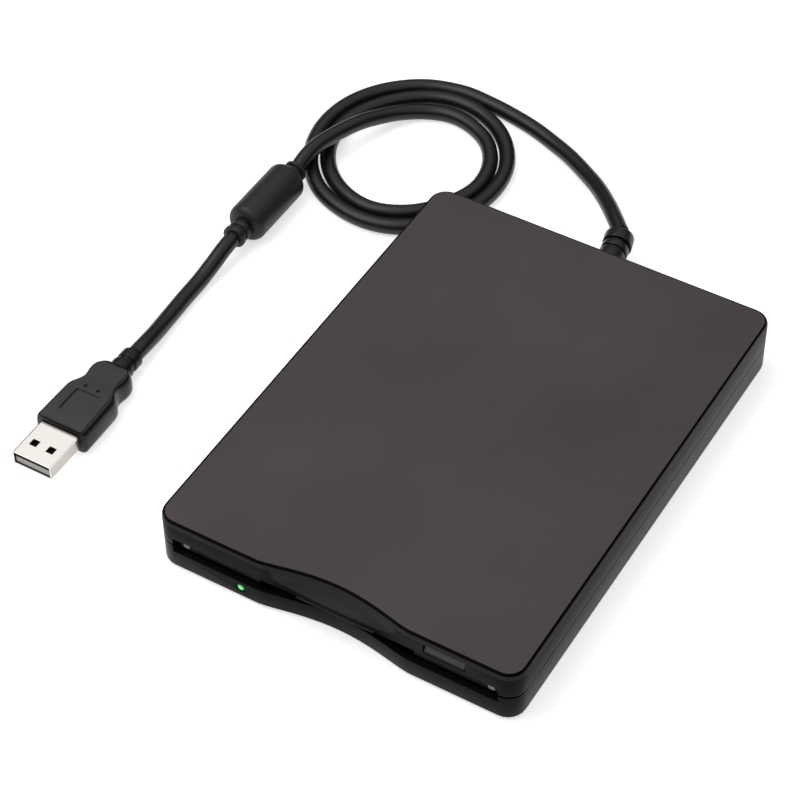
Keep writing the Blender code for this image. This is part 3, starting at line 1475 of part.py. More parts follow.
def make_stepper(can_material, steel):
    """Stepper motor behind the chassis, and the lead screw it turns."""
    centre = (SCREW_X, SCREW_Z)
    motor = rod(
        "stepper_motor",
        centre,
        STEPPER_RADIUS,
        STEPPER_FRONT,
        STEPPER_FRONT + STEPPER_LENGTH,
        "Y",
        can_material,
    )
    plate = block(
        "stepper_plate",
        (SCREW_X - STEPPER_RADIUS, STEPPER_PLATE_Y, CHASSIS_TOP + SEAT_GAP),
        (SCREW_X + STEPPER_RADIUS, STEPPER_FRONT + RUNNING_GAP, SCREW_Z + STEPPER_RADIUS),
    )
    add(motor, plate)
    hole = rod(
        "stepper_nose_hole",
        centre,
        LEAD_SCREW_RADIUS + SEAT_GAP,
        STEPPER_PLATE_Y - OVERRUN,
        STEPPER_FRONT + STEPPER_PLATE_THICK,
        "Y",
    )
    cut(motor, hole)
    screw = screw_thread(
        "lead_screw",
        centre,
        LEAD_SCREW_RADIUS,
        LEAD_SCREW_GROOVE,
        LEAD_SCREW_PITCH,
        LEAD_SCREW_FRONT,
        STEPPER_FRONT,
        SMALL_SIDES,
    )
    screw.data.materials.append(steel)
    hang(pivot("lead_screw_turn", (SCREW_X, LEAD_SCREW_FRONT, SCREW_Z)), screw)


def make_boards(board_material, chip_material, cable_material):
    """Control board in the back of the chassis, USB board behind it and the flat cable between them."""
    block(
        "control_board",
        (CONTROL_BOARD_LEFT, CONTROL_BOARD_FRONT, BOARD_UNDER),
        (CONTROL_BOARD_RIGHT, CONTROL_BOARD_BACK, BOARD_TOP),
        board_material,
    )
    block(
        "usb_board",
        (USB_BOARD_LEFT, USB_BOARD_FRONT, USB_BOARD_Z),
        (USB_BOARD_RIGHT, USB_BOARD_BACK, USB_BOARD_TOP),
        board_material,
    )
    places = (
        ("drive_controller", CONTROL_BOARD_LEFT + CHIP_SETIN, CONTROL_BOARD_FRONT, BOARD_TOP),
        ("usb_controller", USB_BOARD_RIGHT - CHIP_SIZE - CHIP_SETIN, USB_BOARD_FRONT, USB_BOARD_TOP),
    )
    for name, x, y, z in places:
        low = (x, y + CHIP_SETIN, z + RUNNING_GAP)
        block(name, low, (low[0] + CHIP_SIZE, low[1] + CHIP_SIZE, low[2] + CHIP_HEIGHT), chip_material)
    inner, outer = CONTROL_BOARD_BACK - FLAT_CABLE_LAP, USB_BOARD_FRONT + FLAT_CABLE_LAP / 2
    low = BOARD_TOP + RUNNING_GAP
    high = USB_BOARD_TOP + RUNNING_GAP
    t = FLAT_CABLE_THICK
    hump = low + FLAT_CABLE_HUMP
    side_view = [
        (inner, low),
        (inner + 2 * t, low),
        (CONTROL_BOARD_BACK, hump),
        (USB_BOARD_FRONT, hump),
        (outer - 2 * t, high),
        (outer, high),
        (outer, high + t),
        (outer - 2 * t, high + t),
        (USB_BOARD_FRONT, hump + t),
        (CONTROL_BOARD_BACK, hump + t),
        (inner + 2 * t, low + t),
        (inner, low + t),
    ]
    prism(
        "flat_cable",
        side_view,
        FLAT_CABLE_X - FLAT_CABLE_HALF_WIDTH,
        FLAT_CABLE_X + FLAT_CABLE_HALF_WIDTH,
        "X",
        cable_material,
    )


def make_switches(housing_material, pin_material):
    """Three small plungers that feel the disk and its notches."""
    low = CHASSIS_TOP + SEAT_GAP
    high = low + SWITCH_BLOCK_HEIGHT
    half = SWITCH_PITCH * SWITCH_COUNT / 2
    housing = block(
        "switch_block",
        (SWITCH_X - half, SWITCH_Y - SWITCH_BLOCK_DEPTH / 2, low),
        (SWITCH_X + half, SWITCH_Y + SWITCH_BLOCK_DEPTH / 2, high),
        housing_material,
    )
    names = ("disk_switch_pin", "protect_switch_pin", "density_switch_pin")
    for number, name in enumerate(names):
        x = SWITCH_X + (number - (SWITCH_COUNT - 1) / 2) * SWITCH_PITCH
        pocket = rod(
            name + "_pocket",
            (x, SWITCH_Y),
            SWITCH_PIN_RADIUS + RUNNING_GAP,
            high - SWITCH_POCKET,
            high + OVERRUN,
            sides=SMALL_SIDES,
        )
        cut(housing, pocket)
        foot = high - SWITCH_POCKET + SWITCH_TRAVEL + RUNNING_GAP / 2
        pin = rod(
            name,
            (x, SWITCH_Y),
            SWITCH_PIN_RADIUS,
            foot,
            high + SWITCH_PIN_RISE,
            "Z",
            pin_material,
            SMALL_SIDES,
        )
        hang(pivot(name + "_travel", (x, SWITCH_Y, high)), pin)


def make_track_sensor(material):
    """Light gate that sees the carriage at the outermost track."""
    low = CHASSIS_TOP + SEAT_GAP
    sensor = block(
        "track_sensor",
        (SENSOR_X, SENSOR_Y, low),
        (SENSOR_X + SENSOR_WIDTH, SENSOR_Y + SENSOR_LENGTH, low + SENSOR_HEIGHT),
        material,
    )
    gate = block(
        "sensor_gate",
        (SENSOR_X - OVERRUN, SENSOR_Y + (SENSOR_LENGTH - SENSOR_GAP) / 2, low + SENSOR_HEIGHT / 2),
        (
            SENSOR_X + SENSOR_WIDTH + OVERRUN,
            SENSOR_Y + (SENSOR_LENGTH + SENSOR_GAP) / 2,
            low + SENSOR_HEIGHT + OVERRUN,
        ),
    )
    cut(sensor, gate)


def make_shield(material):
    """Thin steel lid that lies on the chassis walls."""
    shield = block(
        "top_shield",
        (-CHASSIS_HALF_WIDTH, CHASSIS_FRONT, SHIELD_UNDER),
        (CHASSIS_HALF_WIDTH, CHASSIS_BACK, SHIELD_UNDER + SHIELD_SHEET),
        material,
    )
    opening = block(
        "shield_opening",
        (
            -SHIELD_OPENING_HALF_X,
            SPINDLE_Y - SHIELD_OPENING_HALF_Y,
            SHIELD_UNDER - OVERRUN,
        ),
        (
            SHIELD_OPENING_HALF_X,
            SPINDLE_Y + SHIELD_OPENING_HALF_Y,
            SHIELD_UNDER + OVERRUN,
        ),
    )
    cut(shield, opening)
    room = SPRING_RADIUS + SEAT_GAP
    start = SLIDE_FRONT + SLIDE_BAND
    for number, side in enumerate((-1, 1)):
        window = block(
            f"spring_window_{number}",
            (side * SPRING_X - room, start - room, SHIELD_UNDER - OVERRUN),
            (side * SPRING_X + room, start + SPRING_LENGTH + room, SHIELD_UNDER + OVERRUN),
        )
        cut(shield, window)


def make_strain_relief(material):
    """Ringed sleeve that is clamped in the back wall by its flange and leads the cord out."""
    length = RELIEF_LENGTH
    base = RELIEF_BASE_Y
    wall_inner = HALF_DEPTH - WALL - SEAT_GAP
    a, b, c, d, shoulder, taper = (base + share * length for share in RELIEF_RING_SHARES)
    slim = RELIEF_GROOVE_RADIUS
    full = RELIEF_RADIUS
    turned(
        "strain_relief",
        (0, CORD_EXIT_Z),
        [
            (RELIEF_FLANGE_RADIUS, wall_inner - RELIEF_FLANGE_THICK),
            (RELIEF_FLANGE_RADIUS, wall_inner),
            (RELIEF_NECK_RADIUS, wall_inner),
            (RELIEF_NECK_RADIUS, base),
            (full, base),
            (full, a),
            (slim, a),
            (slim, b),
            (full, b),
            (full, c),
            (slim, c),
            (slim, d),
            (full, d),
            (full, shoulder),
            (RELIEF_TIP_RADIUS, taper),
            (RELIEF_TIP_RADIUS, base + length),
        ],
        "Y",
        material,
    )


def smooth_route(route, step):
    """Points at an even step along a smooth curve through the route's own points."""
    knots = [Vector(point) for point in route]
    knots = [2 * knots[0] - knots[1]] + knots + [2 * knots[-1] - knots[-2]]
    fine = []
    for before, start, end, after in zip(knots, knots[1:], knots[2:], knots[3:]):
        for i in range(BEND_SAMPLES):
            t = i / BEND_SAMPLES
            fine.append(
                (
                    2 * start
                    + (end - before) * t
                    + (2 * before - 5 * start + 4 * end - after) * t**2
                    + (3 * start - before - 3 * end + after) * t**3
                )
                / 2
            )
    fine.append(knots[-2])
    lengths = [0.0]
    for one, two in zip(fine, fine[1:]):
        lengths.append(lengths[-1] + (two - one).length)
    count = round(lengths[-1] / step)
    points = []
    place = 0
    for i in range(count + 1):
        target = lengths[-1] * i / count
        while place < len(fine) - 2 and lengths[place + 1] < target:
            place += 1
        span = lengths[place + 1] - lengths[place]
        share = (target - lengths[place]) / span
        points.append(fine[place].lerp(fine[place + 1], min(max(share, 0.0), 1.0)))
    return points, lengths[-1]


def least_gap(points, diameter, skip):
    """Smallest space between stretches of the tube that aren't neighbours along it."""
    least = None
    for i in range(len(points) - 1):
        for j in range(i + skip, len(points) - 1):
            gap = segment_distance(points[i], points[i + 1], points[j], points[j + 1]) - diameter
            least = gap if least is None else min(least, gap)
    return least


def segment_distance(a, b, c, d):
    """Distance between two straight stretches, by clamping their closest points in turn."""
    u, v, w = b - a, d - c, a - c
    uu, uv, vv, uw, vw = u.dot(u), u.dot(v), v.dot(v), u.dot(w), v.dot(w)
    spread = uu * vv - uv * uv
    s = 0.0 if spread == 0 else min(max((uv * vw - vv * uw) / spread, 0.0), 1.0)
    t = min(max((uv * s + vw) / vv, 0.0), 1.0)
    s = min(max((uv * t - uw) / uu, 0.0), 1.0)
    return (a + u * s - c - v * t).length


def make_cord(material):
    """The cord in its two lengths: out of the relief and round its loops to the core, and on to the plug."""
    fall = CORD_EXIT_Z - CORD_REST_Z
    lead = [(x, y + RELIEF_TIP_Y, CORD_REST_Z + share * fall) for x, y, share in LEAD_ROUTE]
    loops = [(x - HALF_WIDTH, y + HALF_DEPTH, z) for x, y, z in LOOP_ROUTE]
    points, length = smooth_route(lead + loops, TUBE_STEP)
    tube("cord_loop", points, CORD_RADIUS, material)
    skip = math.ceil(4 * CORD_DIAMETER / TUBE_STEP)
    print(f"cord_loop: {length * 1000:.0f} mm, {len(points)} points")
    print(f"cord_loop: least gap to itself {least_gap(points, CORD_DIAMETER, skip) * 1000:.2f} mm")
    tail = [(x + FERRITE_X, y + TAIL_Y, z) for x, y, z in TAIL_ROUTE]
    points, length = smooth_route(tail, TUBE_STEP)
    tube("cord_tail", points, CORD_RADIUS, material)
    print(f"cord_tail: {length * 1000:.0f} mm, {len(points)} points")


def make_ferrite(material):
    """Moulded ferrite core with a ringed collar at each end."""
    front, back = FERRITE_FRONT, FERRITE_BACK
    edge = FERRITE_EDGE
    curve = edge * (1 - math.sqrt(0.5))
    collar, neck = COLLAR_RADIUS, COLLAR_NECK_RADIUS
    half = [
        (collar, front - COLLAR_LENGTH),
        (collar, front - COLLAR_NECK_LENGTH),
        (neck, front - COLLAR_NECK_LENGTH),
        (neck, front),
        (FERRITE_RADIUS - edge, front),
        (FERRITE_RADIUS - curve, front + curve),
        (FERRITE_RADIUS, front + edge),
    ]
    profile = half + [(radius, front + back - place) for radius, place in reversed(half)]
    turned("ferrite_core", (FERRITE_X, FERRITE_RADIUS), profile, "Y", material)


def plug_section(y, half_width, half_height, edge):
    """Rounded rectangle across the plug, as a ring of points."""
    points = []
    reach_x, reach_z = half_width - edge, half_height - edge
    steps = PLUG_CORNER_STEPS
    corners = [(reach_x, reach_z), (-reach_x, reach_z), (-reach_x, -reach_z), (reach_x, -reach_z)]
    for quarter, (x, z) in enumerate(corners):
        for i in range(steps + 1):
            angle = math.pi / 2 * (quarter + i / steps)
            points.append((PLUG_X + x + edge * math.cos(angle), y, PLUG_Z + z + edge * math.sin(angle)))
    return points


# Along the overmould: place, half width, half height and edge radius, as shares of its sizes
PLUG_SHAPE_SHARES = [
    (0.00, 0.93, 0.90, 0.30),
    (0.03, 1.00, 1.00, 0.36),
    (0.52, 1.00, 1.00, 0.36),
    (0.58, 0.95, 0.98, 0.36),
    (0.66, 0.78, 0.92, 0.40),
    (0.73, 0.71, 0.88, 0.42),
    (0.80, 0.75, 0.88, 0.42),
    (0.90, 0.76, 0.86, 0.42),
    (0.95, 0.68, 0.84, 0.42),
    (1.00, 0.46, 0.80, 0.50),
]
# Along its strain relief: place and radius
PLUG_RELIEF_SHARES = [
    (0.02, 1.12),
    (0.40, 1.06),
    (0.43, 0.86),
    (0.54, 0.86),
    (0.57, 1.04),
    (0.84, 1.00),
    (1.00, 0.90),
]


def make_plug(rubber, steel, plastic):
    """USB plug: moulded grip, drawn steel shell with its spring holes, and the contact tongue inside."""
    rings = []
    for place, width, height, edge in PLUG_SHAPE_SHARES:
        rings.append(
            plug_section(
                PLUG_FACE_Y + place * PLUG_BODY_LENGTH,
                width * PLUG_HALF_WIDTH,
                height * PLUG_HALF_HEIGHT,
                edge * PLUG_HALF_HEIGHT,
            )
        )
    for place, radius in PLUG_RELIEF_SHARES:
        size = radius * PLUG_RELIEF_RADIUS
        rings.append(plug_section(PLUG_BACK_Y + place * PLUG_RELIEF_LENGTH, size, size, size * 0.98))
    stack("plug_grip", rings, rubber, True)
    half_x, half_z = SHELL_WIDTH / 2, SHELL_HEIGHT / 2
    front, back = SHELL_FRONT_Y, SHELL_BACK_Y
    shell = block(
        "plug_shell",
        (PLUG_X - half_x, front, PLUG_Z - half_z),
        (PLUG_X + half_x, back, PLUG_Z + half_z),
        steel,
    )
    bevel = shell.modifiers.new("drawn_corners", "BEVEL")
    bevel.width = SHELL_CORNER
    bevel.segments = 2
    bevel.limit_method = "WEIGHT"
    weights = shell.data.attributes.new("bevel_weight_edge", "FLOAT", "EDGE")
    for edge in shell.data.edges:
        one, two = (shell.data.vertices[i].co for i in edge.vertices)
        weights.data[edge.index].value = 1.0 if abs(one.y - two.y) > SHELL_WALL else 0.0
    hollow = block(
        "shell_hollow",
        (PLUG_X - half_x + SHELL_WALL, front - OVERRUN, PLUG_Z - half_z + SHELL_WALL),
        (PLUG_X + half_x - SHELL_WALL, back + OVERRUN, PLUG_Z + half_z - SHELL_WALL),
    )
    cut(shell, hollow)
    y = front + SHELL_HOLE_SETBACK
    for number, side in enumerate((-1, 1)):
        x = PLUG_X + side * SHELL_HOLE_X
        hole = block(
            f"shell_hole_{number}",
            (x - SHELL_HOLE / 2, y - SHELL_HOLE / 2, PLUG_Z - half_z - OVERRUN),
            (x + SHELL_HOLE / 2, y + SHELL_HOLE / 2, PLUG_Z + half_z + OVERRUN),
        )
        cut(shell, hole)
    low = PLUG_Z - half_z + SHELL_WALL + SEAT_GAP / 2
    reach = half_x - SHELL_WALL - SEAT_GAP / 2
    block(
        "contact_tongue",
        (PLUG_X - reach, front + TONGUE_PLATE_SETBACK, low),
        (PLUG_X + reach, back, low + TONGUE_PLATE_THICK),
        plastic,
    )


def build():
    clear_scene()
    shell_black = finish("shell_black", (0.072, 0.068, 0.067), 0.55)
    lower_black = finish("lower_black", (0.030, 0.030, 0.031), 0.50)
    flap_black = finish("flap_black", (0.012, 0.012, 0.012), 0.50)
    button_black = finish("button_black", (0.070, 0.068, 0.068), 0.45)
    lamp_green = finish("lamp_green", (0.03, 0.75, 0.18), 0.25)
    foot_rubber = finish("foot_rubber", (0.020, 0.020, 0.020), 0.85)
    zinc = finish("zinc_steel", (0.60, 0.61, 0.62), 0.35, 1.0)
    spring_steel = finish("spring_steel", (0.45, 0.45, 0.46), 0.30, 1.0)
    board_green = finish("board_green", (0.03, 0.16, 0.07), 0.45)
    chip_black = finish("chip_black", (0.02, 0.02, 0.02), 0.45)
    copper = finish("winding_copper", (0.62, 0.28, 0.12), 0.35, 1.0)
    grey_plastic = finish("carriage_grey", (0.16, 0.17, 0.18), 0.50)
    ceramic = finish("head_ceramic", (0.75, 0.73, 0.68), 0.30)
    cable_grey = finish("flat_cable_grey", (0.55, 0.55, 0.53), 0.55)
    white_plastic = finish("tongue_white", (0.80, 0.80, 0.78), 0.50)
    cord_black = finish("cord_black", (0.022, 0.022, 0.023), 0.48)
    grip_black = finish("grip_black", (0.045, 0.043, 0.043), 0.55)
    shell_steel = finish("shell_steel", (0.80, 0.79, 0.77), 0.22, 1.0)
    make_upper_cover(shell_black)
    make_lower_cover(lower_black)
    make_flaps(flap_black)
    make_lamp(lamp_green, board_green)
    make_feet(foot_rubber)
    make_screws(zinc)
    make_chassis(zinc)
    make_spindle_motor(board_green, copper, zinc)
    holder_lift = make_disk_holder(zinc)
    make_shutter_lever(zinc, holder_lift)
    make_eject_slide(zinc, button_black)
    make_eject_springs(spring_steel)
    make_carriage(grey_plastic, zinc, ceramic)
    make_guide_rod(spring_steel, grey_plastic)
    make_stepper(zinc, spring_steel)
    make_boards(board_green, chip_black, cable_grey)
    make_switches(chip_black, white_plastic)
    make_track_sensor(chip_black)
    make_shield(zinc)
    make_strain_relief(cord_black)
    make_cord(cord_black)
    make_ferrite(cord_black)
    make_plug(grip_black, shell_steel, white_plastic)


build()
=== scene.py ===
import json
import math

import bmesh
import bpy
from mathutils import Matrix, Vector


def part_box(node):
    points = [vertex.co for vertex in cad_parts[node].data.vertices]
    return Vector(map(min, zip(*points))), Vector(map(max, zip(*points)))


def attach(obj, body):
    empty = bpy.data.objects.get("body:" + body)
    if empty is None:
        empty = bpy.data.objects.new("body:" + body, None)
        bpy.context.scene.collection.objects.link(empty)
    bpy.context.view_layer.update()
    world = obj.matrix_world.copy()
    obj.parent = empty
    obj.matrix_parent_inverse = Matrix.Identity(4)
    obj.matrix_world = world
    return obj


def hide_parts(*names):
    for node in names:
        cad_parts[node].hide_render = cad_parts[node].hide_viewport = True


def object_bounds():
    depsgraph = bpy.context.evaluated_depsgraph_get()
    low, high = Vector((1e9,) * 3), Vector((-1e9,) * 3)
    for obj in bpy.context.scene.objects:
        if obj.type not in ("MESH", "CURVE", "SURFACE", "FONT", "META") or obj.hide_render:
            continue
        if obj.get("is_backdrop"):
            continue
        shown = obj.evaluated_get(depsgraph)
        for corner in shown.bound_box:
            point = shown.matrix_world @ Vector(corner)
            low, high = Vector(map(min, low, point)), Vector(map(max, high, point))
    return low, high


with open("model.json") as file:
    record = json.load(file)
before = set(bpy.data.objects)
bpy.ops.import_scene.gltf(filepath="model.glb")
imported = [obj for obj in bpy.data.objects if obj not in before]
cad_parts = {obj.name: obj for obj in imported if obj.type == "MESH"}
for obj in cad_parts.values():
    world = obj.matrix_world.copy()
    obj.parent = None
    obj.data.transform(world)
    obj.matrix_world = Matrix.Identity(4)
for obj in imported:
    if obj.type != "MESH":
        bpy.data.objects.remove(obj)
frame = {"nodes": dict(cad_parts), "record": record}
solid_low, solid_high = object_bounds()
case_low, case_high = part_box("upper_cover")
MM = 0.001


def in_mm(*lengths):
    """Lengths in millimetres, for printing."""
    return [round(length / MM, 1) for length in lengths]


def add_object(name, data):
    """A new object in the scene."""
    thing = bpy.data.objects.new(name, data)
    bpy.context.scene.collection.objects.link(thing)
    return thing


print("solids, mm:", in_mm(*(solid_high - solid_low)))

# %% [markdown]
# The camera stands where the photographer's did: in front of the drive, a little to its right and
# well above it, with a long lens that keeps the case's edges nearly parallel. Its place could be
# found by eye, but the case is a box of known width and depth, so matching its corners gives three
# turns and a distance that fit better than any guess. The roll of less than one degree is real too.
# %% Camera at the photo's angle
CAMERA_AZIMUTH = math.radians(31.22)
CAMERA_ELEVATION = math.radians(46.48)
CAMERA_ROLL = math.radians(-0.74)
CAMERA_DISTANCE = 0.66494
CAMERA_SHIFT_RIGHT = -0.01920
CAMERA_SHIFT_UP = 0.01411
FLOOR_OFFSET = 0.0008
LENS_MM = 115.57
SENSOR_WIDTH_MM = 36


def camera_axes(azimuth, elevation, roll):
    """The camera's right, up and backward directions for a view from that side and height."""
    level = Vector((math.sin(azimuth), -math.cos(azimuth), 0))
    back = level * math.cos(elevation) + Vector((0, 0, math.sin(elevation)))
    right = Vector((math.cos(azimuth), math.sin(azimuth), 0))
    up = back.cross(right)
    c, s = math.cos(roll), math.sin(roll)
    return c * right + s * up, -s * right + c * up, back


right, up, back = camera_axes(CAMERA_AZIMUTH, CAMERA_ELEVATION, CAMERA_ROLL)
place = back * CAMERA_DISTANCE + right * CAMERA_SHIFT_RIGHT + up * CAMERA_SHIFT_UP
place += Vector((0, 0, FLOOR_OFFSET))
camera = add_object("photo_camera", bpy.data.cameras.new("photo_camera"))
camera.data.lens = LENS_MM
camera.data.sensor_width = SENSOR_WIDTH_MM
camera.matrix_world = Matrix.Translation(place) @ Matrix((right, up, back)).transposed().to_4x4()
bpy.context.scene.camera = camera
print("camera at, mm:", in_mm(*place))

# %% [markdown]
# Most finishes here are sums and products of noise: a little more roughness where the grain is
# deep, a little less colour where it is worn. Wiring Math nodes by hand hides that arithmetic, so
# a small class wraps a socket and lets Python's own signs build the nodes. Anything that isn't a
# sum goes through one method, which takes a node's type, its settings and what its sockets get.
# %% A socket that takes part in sums


class Value:
    """A shader socket that can be added, multiplied and compared like a number."""

    def __init__(self, tree, socket):
        self.tree = tree
        self.socket = socket

    def math(self, operation, *others, clamp=False):
        values = dict(enumerate((self, *others)))
        settings = {"operation": operation, "use_clamp": clamp}
        return self.node("ShaderNodeMath", settings, values)

    def node(self, kind, settings, values, output=0):
        return add_node(self.tree, kind, settings, values, output)

    def __add__(self, other):
        return self.math("ADD", other)

    def __mul__(self, other):
        return self.math("MULTIPLY", other)

    def __sub__(self, other):
        return self.math("SUBTRACT", other)

    def __rsub__(self, other):
        return (self * -1) + other

    __radd__ = __add__
    __rmul__ = __mul__

    def ramp(self, start, end, low=0.0, high=1.0):
        """A smooth step from low to high as this value goes from start to end."""
        values = {"Value": self, "From Min": start, "From Max": end, "To Min": low, "To Max": high}
        return self.node("ShaderNodeMapRange", {"interpolation_type": "SMOOTHSTEP"}, values)

    def mix(self, first, second):
        """A colour between the two, by this value. Each is three numbers or a colour socket."""
        ends = [end if isinstance(end, Value) else (*end, 1.0) for end in (first, second)]
        values = {0: self, 6: ends[0], 7: ends[1]}
        return self.node("ShaderNodeMix", {"data_type": "RGBA"}, values, 2)

    def axis(self, index):
        """One coordinate of a place: 0, 1 or 2."""
        return self.node("ShaderNodeSeparateXYZ", {}, {0: self}, index)


def add_node(tree, kind, settings=None, values=None, output=0):
    """Adds one node: its settings first, then a value or a link for each socket it names."""
    node = tree.nodes.new(kind)
    for key, setting in (settings or {}).items():
        setattr(node, key, setting)
    for key, value in (values or {}).items():
        if isinstance(value, Value):
            tree.links.new(value.socket, node.inputs[key])
        else:
            node.inputs[key].default_value = value
    return Value(tree, node.outputs[output])


def surface(name, constants):
    """A new material with a Principled surface, its constants on the shader's own sockets."""
    material = bpy.data.materials.new(name)
    material.use_nodes = True
    shader = material.node_tree.nodes["Principled BSDF"]
    for key, value in constants.items():
        shader.inputs[key].default_value = value
    return material, material.node_tree, shader.inputs


def lead(value, socket):
    """Drives a socket by a value."""
    value.tree.links.new(value.socket, socket)


def object_place(tree, stretch=(1, 1, 1)):
    """Object coordinates, stretched where a grain runs one way."""
    place = add_node(tree, "ShaderNodeTexCoord", output=3)
    return place.node("ShaderNodeMapping", {}, {"Vector": place, "Scale": stretch})


def noise(place, size, detail=2.0, rough=0.5):
    """Soft noise whose patches are about that size in metres."""
    values = {"Vector": place, "Scale": 1 / size, "Detail": detail, "Roughness": rough}
    return place.node("ShaderNodeTexNoise", {}, values)


def bumped(height, depth, strength=1.0, edge=None):
    """A normal bent by a height field of that depth, over an edge that is rounded in shading."""
    values = {"Height": height, "Distance": depth, "Strength": strength}
    if edge:
        values["Normal"] = height.node("ShaderNodeBevel", {"samples": 6}, {"Radius": edge})
    return height.node("ShaderNodeBump", {}, values)


# %% [markdown]
# Every plastic and rubber here is one colour with two noises in it. A broad one shifts the colour
# by a few per cent, as resin and handling do. A fine one is the grain of the tool: it bends the
# normal and swings the sheen a little. No moulded edge is sharp, so the normal is rounded there.
# %% Moulded plastics
BROAD_PATCH = 0.045
BROAD_SHARE = 0.6
GRAIN_STRENGTH = 0.8
GRAIN_DEPTH = 0.00001
EDGE_RADIUS = 0.00012


def plastic_surface(name, gloss, grain):
    """A new material with its inputs, the places on the piece and the noise of its grain."""
    material, tree, inputs = surface(name, {"Specular IOR Level": gloss})
    place = object_place(tree)
    return material, inputs, place, noise(place, grain, 3.0, 0.6)


def drifted(place, fine, colour, drift):
    """A colour that wanders a little from place to place."""
    dark = [channel * (1 - drift) for channel in colour]
    light = [channel * (1 + drift) for channel in colour]
    wander = noise(place, BROAD_PATCH) * BROAD_SHARE + fine * (1 - BROAD_SHARE)
    return wander.ramp(0.3, 0.7).mix(dark, light)


def grained(inputs, fine, roughness, swing=0.2, depth=GRAIN_DEPTH, edge=EDGE_RADIUS):
    """The grain in the sheen and in the normal, over edges that are rounded in shading."""
    lead((fine - 0.5) * swing + roughness, inputs["Roughness"])
    lead(bumped(fine, depth, GRAIN_STRENGTH, edge), inputs["Normal"])


def moulded(name, colour, roughness, grain, depth=GRAIN_DEPTH, drift=0.12, gloss=0.5):
    """Grained plastic of one finish all over."""
    material, inputs, place, fine = plastic_surface(name, gloss, grain)
    lead(drifted(place, fine, colour, drift), inputs["Base Color"])
    grained(inputs, fine, roughness, 0.22, depth, 1.5 * EDGE_RADIUS)
    return material


flap_plastic = moulded("dust_flap_plastic", (0.042, 0.042, 0.0425), 0.30, 0.0006, gloss=0.3)
grip_rubber = moulded("plug_grip_rubber", (0.005, 0.005, 0.0052), 0.32, 0.0005, gloss=0.25)
panel_brown = (0.0400, 0.0365, 0.0355)
panel_rubber = moulded("plug_panel_rubber", panel_brown, 0.48, 0.0005, 0.00002, gloss=0.25)
jacket_rubber = moulded("cord_jacket_rubber", (0.006, 0.006, 0.0064), 0.34, 0.0009, gloss=0.35)
sleeve_rubber = moulded("core_sleeve_rubber", (0.017, 0.016, 0.0145), 0.46, 0.0006, gloss=0.3)
foot_rubber = moulded("foot_rubber", (0.018, 0.018, 0.018), 0.75, 0.0004, 0.00003)
carriage_plastic = moulded("carriage_plastic", (0.15, 0.16, 0.17), 0.45, 0.0007)
switch_plastic = moulded("switch_plastic", (0.016, 0.016, 0.017), 0.4, 0.0005)
tongue_plastic = moulded("tongue_plastic", (0.78, 0.78, 0.75), 0.4, 0.0005, drift=0.03)
print("plastics:", len(bpy.data.materials))

# %% [markdown]
# The covers need several finishes in one plastic. Their tool is spark-eroded where it forms the top
# and polished on its edges and walls. So the flat top is matt, slightly warm and pale, the rounded
# edge round it is painted black as shade, and the walls are dark, cooler and glossier. Each finish
# is laid over the ones before it by a share, a number from 0 to 1 worked out from the place alone.
# %% Plastic with several finishes
BAND_DRIFT = 0.10


def banded(name, first, layers, shade_lines, grain, depth, gloss):
    """Plastic whose finishes are each a colour and a roughness. A layer is a finish and the share
    that says where it lies. Along each painted line of shade the sheen is taken off as well:
    Metallic makes a surface reflect in its own colour, and black reflects nothing, so the line is
    painted shade."""
    material, inputs, place, fine = plastic_surface(name, gloss, grain)
    colour, roughness = drifted(place, fine, first[0], BAND_DRIFT), first[1]
    for (layer_colour, layer_roughness), share in layers:
        cover = share(place)
        colour = cover.mix(colour, drifted(place, fine, layer_colour, BAND_DRIFT))
        roughness = cover * (roughness * -1 + layer_roughness) + roughness
    lead(colour, inputs["Base Color"])
    grained(inputs, fine, roughness, depth=depth)
    shade_mask = shade_lines[0](place)
    for line in shade_lines[1:]:
        shade_mask = shade_mask.math("MAXIMUM", line(place))
    lead(shade_mask, inputs["Metallic"])
    return material


# %% [markdown]
# The changes follow the moulding. The rounded edge, painted black as shade, and the rim under it,
# painted lighter as a highlight, lie at their own depths below the flat top. The scoop in the front
# is painted lighter than the wall, as light on its slope. Where the covers meet, a dark band of
# painted shade lies beside the groove.
# %% Where each finish lies
ROOF_STEP = 0.00006
EDGE_LOW = 0.00062
EDGE_WIDTH = 0.00014
RIM_LOW = 0.00190
SCOOP_HALF_WIDTH = 0.0213
SCOOP_START = 0.0004
SCOOP_END = 0.006
SCOOP_FADE = 0.001
PARTING_DROP = 0.0009
PARTING_HALF = 0.0007
PARTING_CORE = 0.7 * PARTING_HALF
parting_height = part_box("lower_cover")[1].z - PARTING_DROP


def above(depth, width):
    """A share that is 1 higher up than that depth below the case's flat top."""
    return lambda place: ((place.axis(2) * -1) + case_high.z).ramp(depth, depth - width)


def scoop_painted_light(place):
    """1 on the slope pressed into the front, behind the case's front plane, where a lighter colour
    is painted light.
    """
    behind = place.axis(1).ramp(case_low.y + SCOOP_START, case_low.y + 2 * SCOOP_START)
    near = place.axis(0).math("ABSOLUTE").ramp(SCOOP_HALF_WIDTH, SCOOP_HALF_WIDTH - SCOOP_START)
    scoop_end = case_low.y + SCOOP_END
    return behind * near * place.axis(1).ramp(scoop_end, scoop_end - SCOOP_FADE)


def roof_line_shade(place):
    """1 on the black line of painted shade that the rounded edge draws round the flat top."""
    return on_the_edge(place) * (1 - on_the_roof(place))


def parting_shade(place):
    """1 beside the groove where the two covers meet, where a dark band of shade is painted."""
    reach = (place.axis(2) - parting_height).math("ABSOLUTE")
    return reach.ramp(PARTING_HALF, PARTING_CORE)


# The rim's share lays a painted highlight under the rounded edge; the edge's share lays painted
# shade.
rim_highlight = above(RIM_LOW, EDGE_WIDTH)
on_the_edge = above(EDGE_LOW, EDGE_WIDTH)
on_the_roof = above(ROOF_STEP, ROOF_STEP * 5 / 6)
print("dark band at, mm:", in_mm(parting_height))
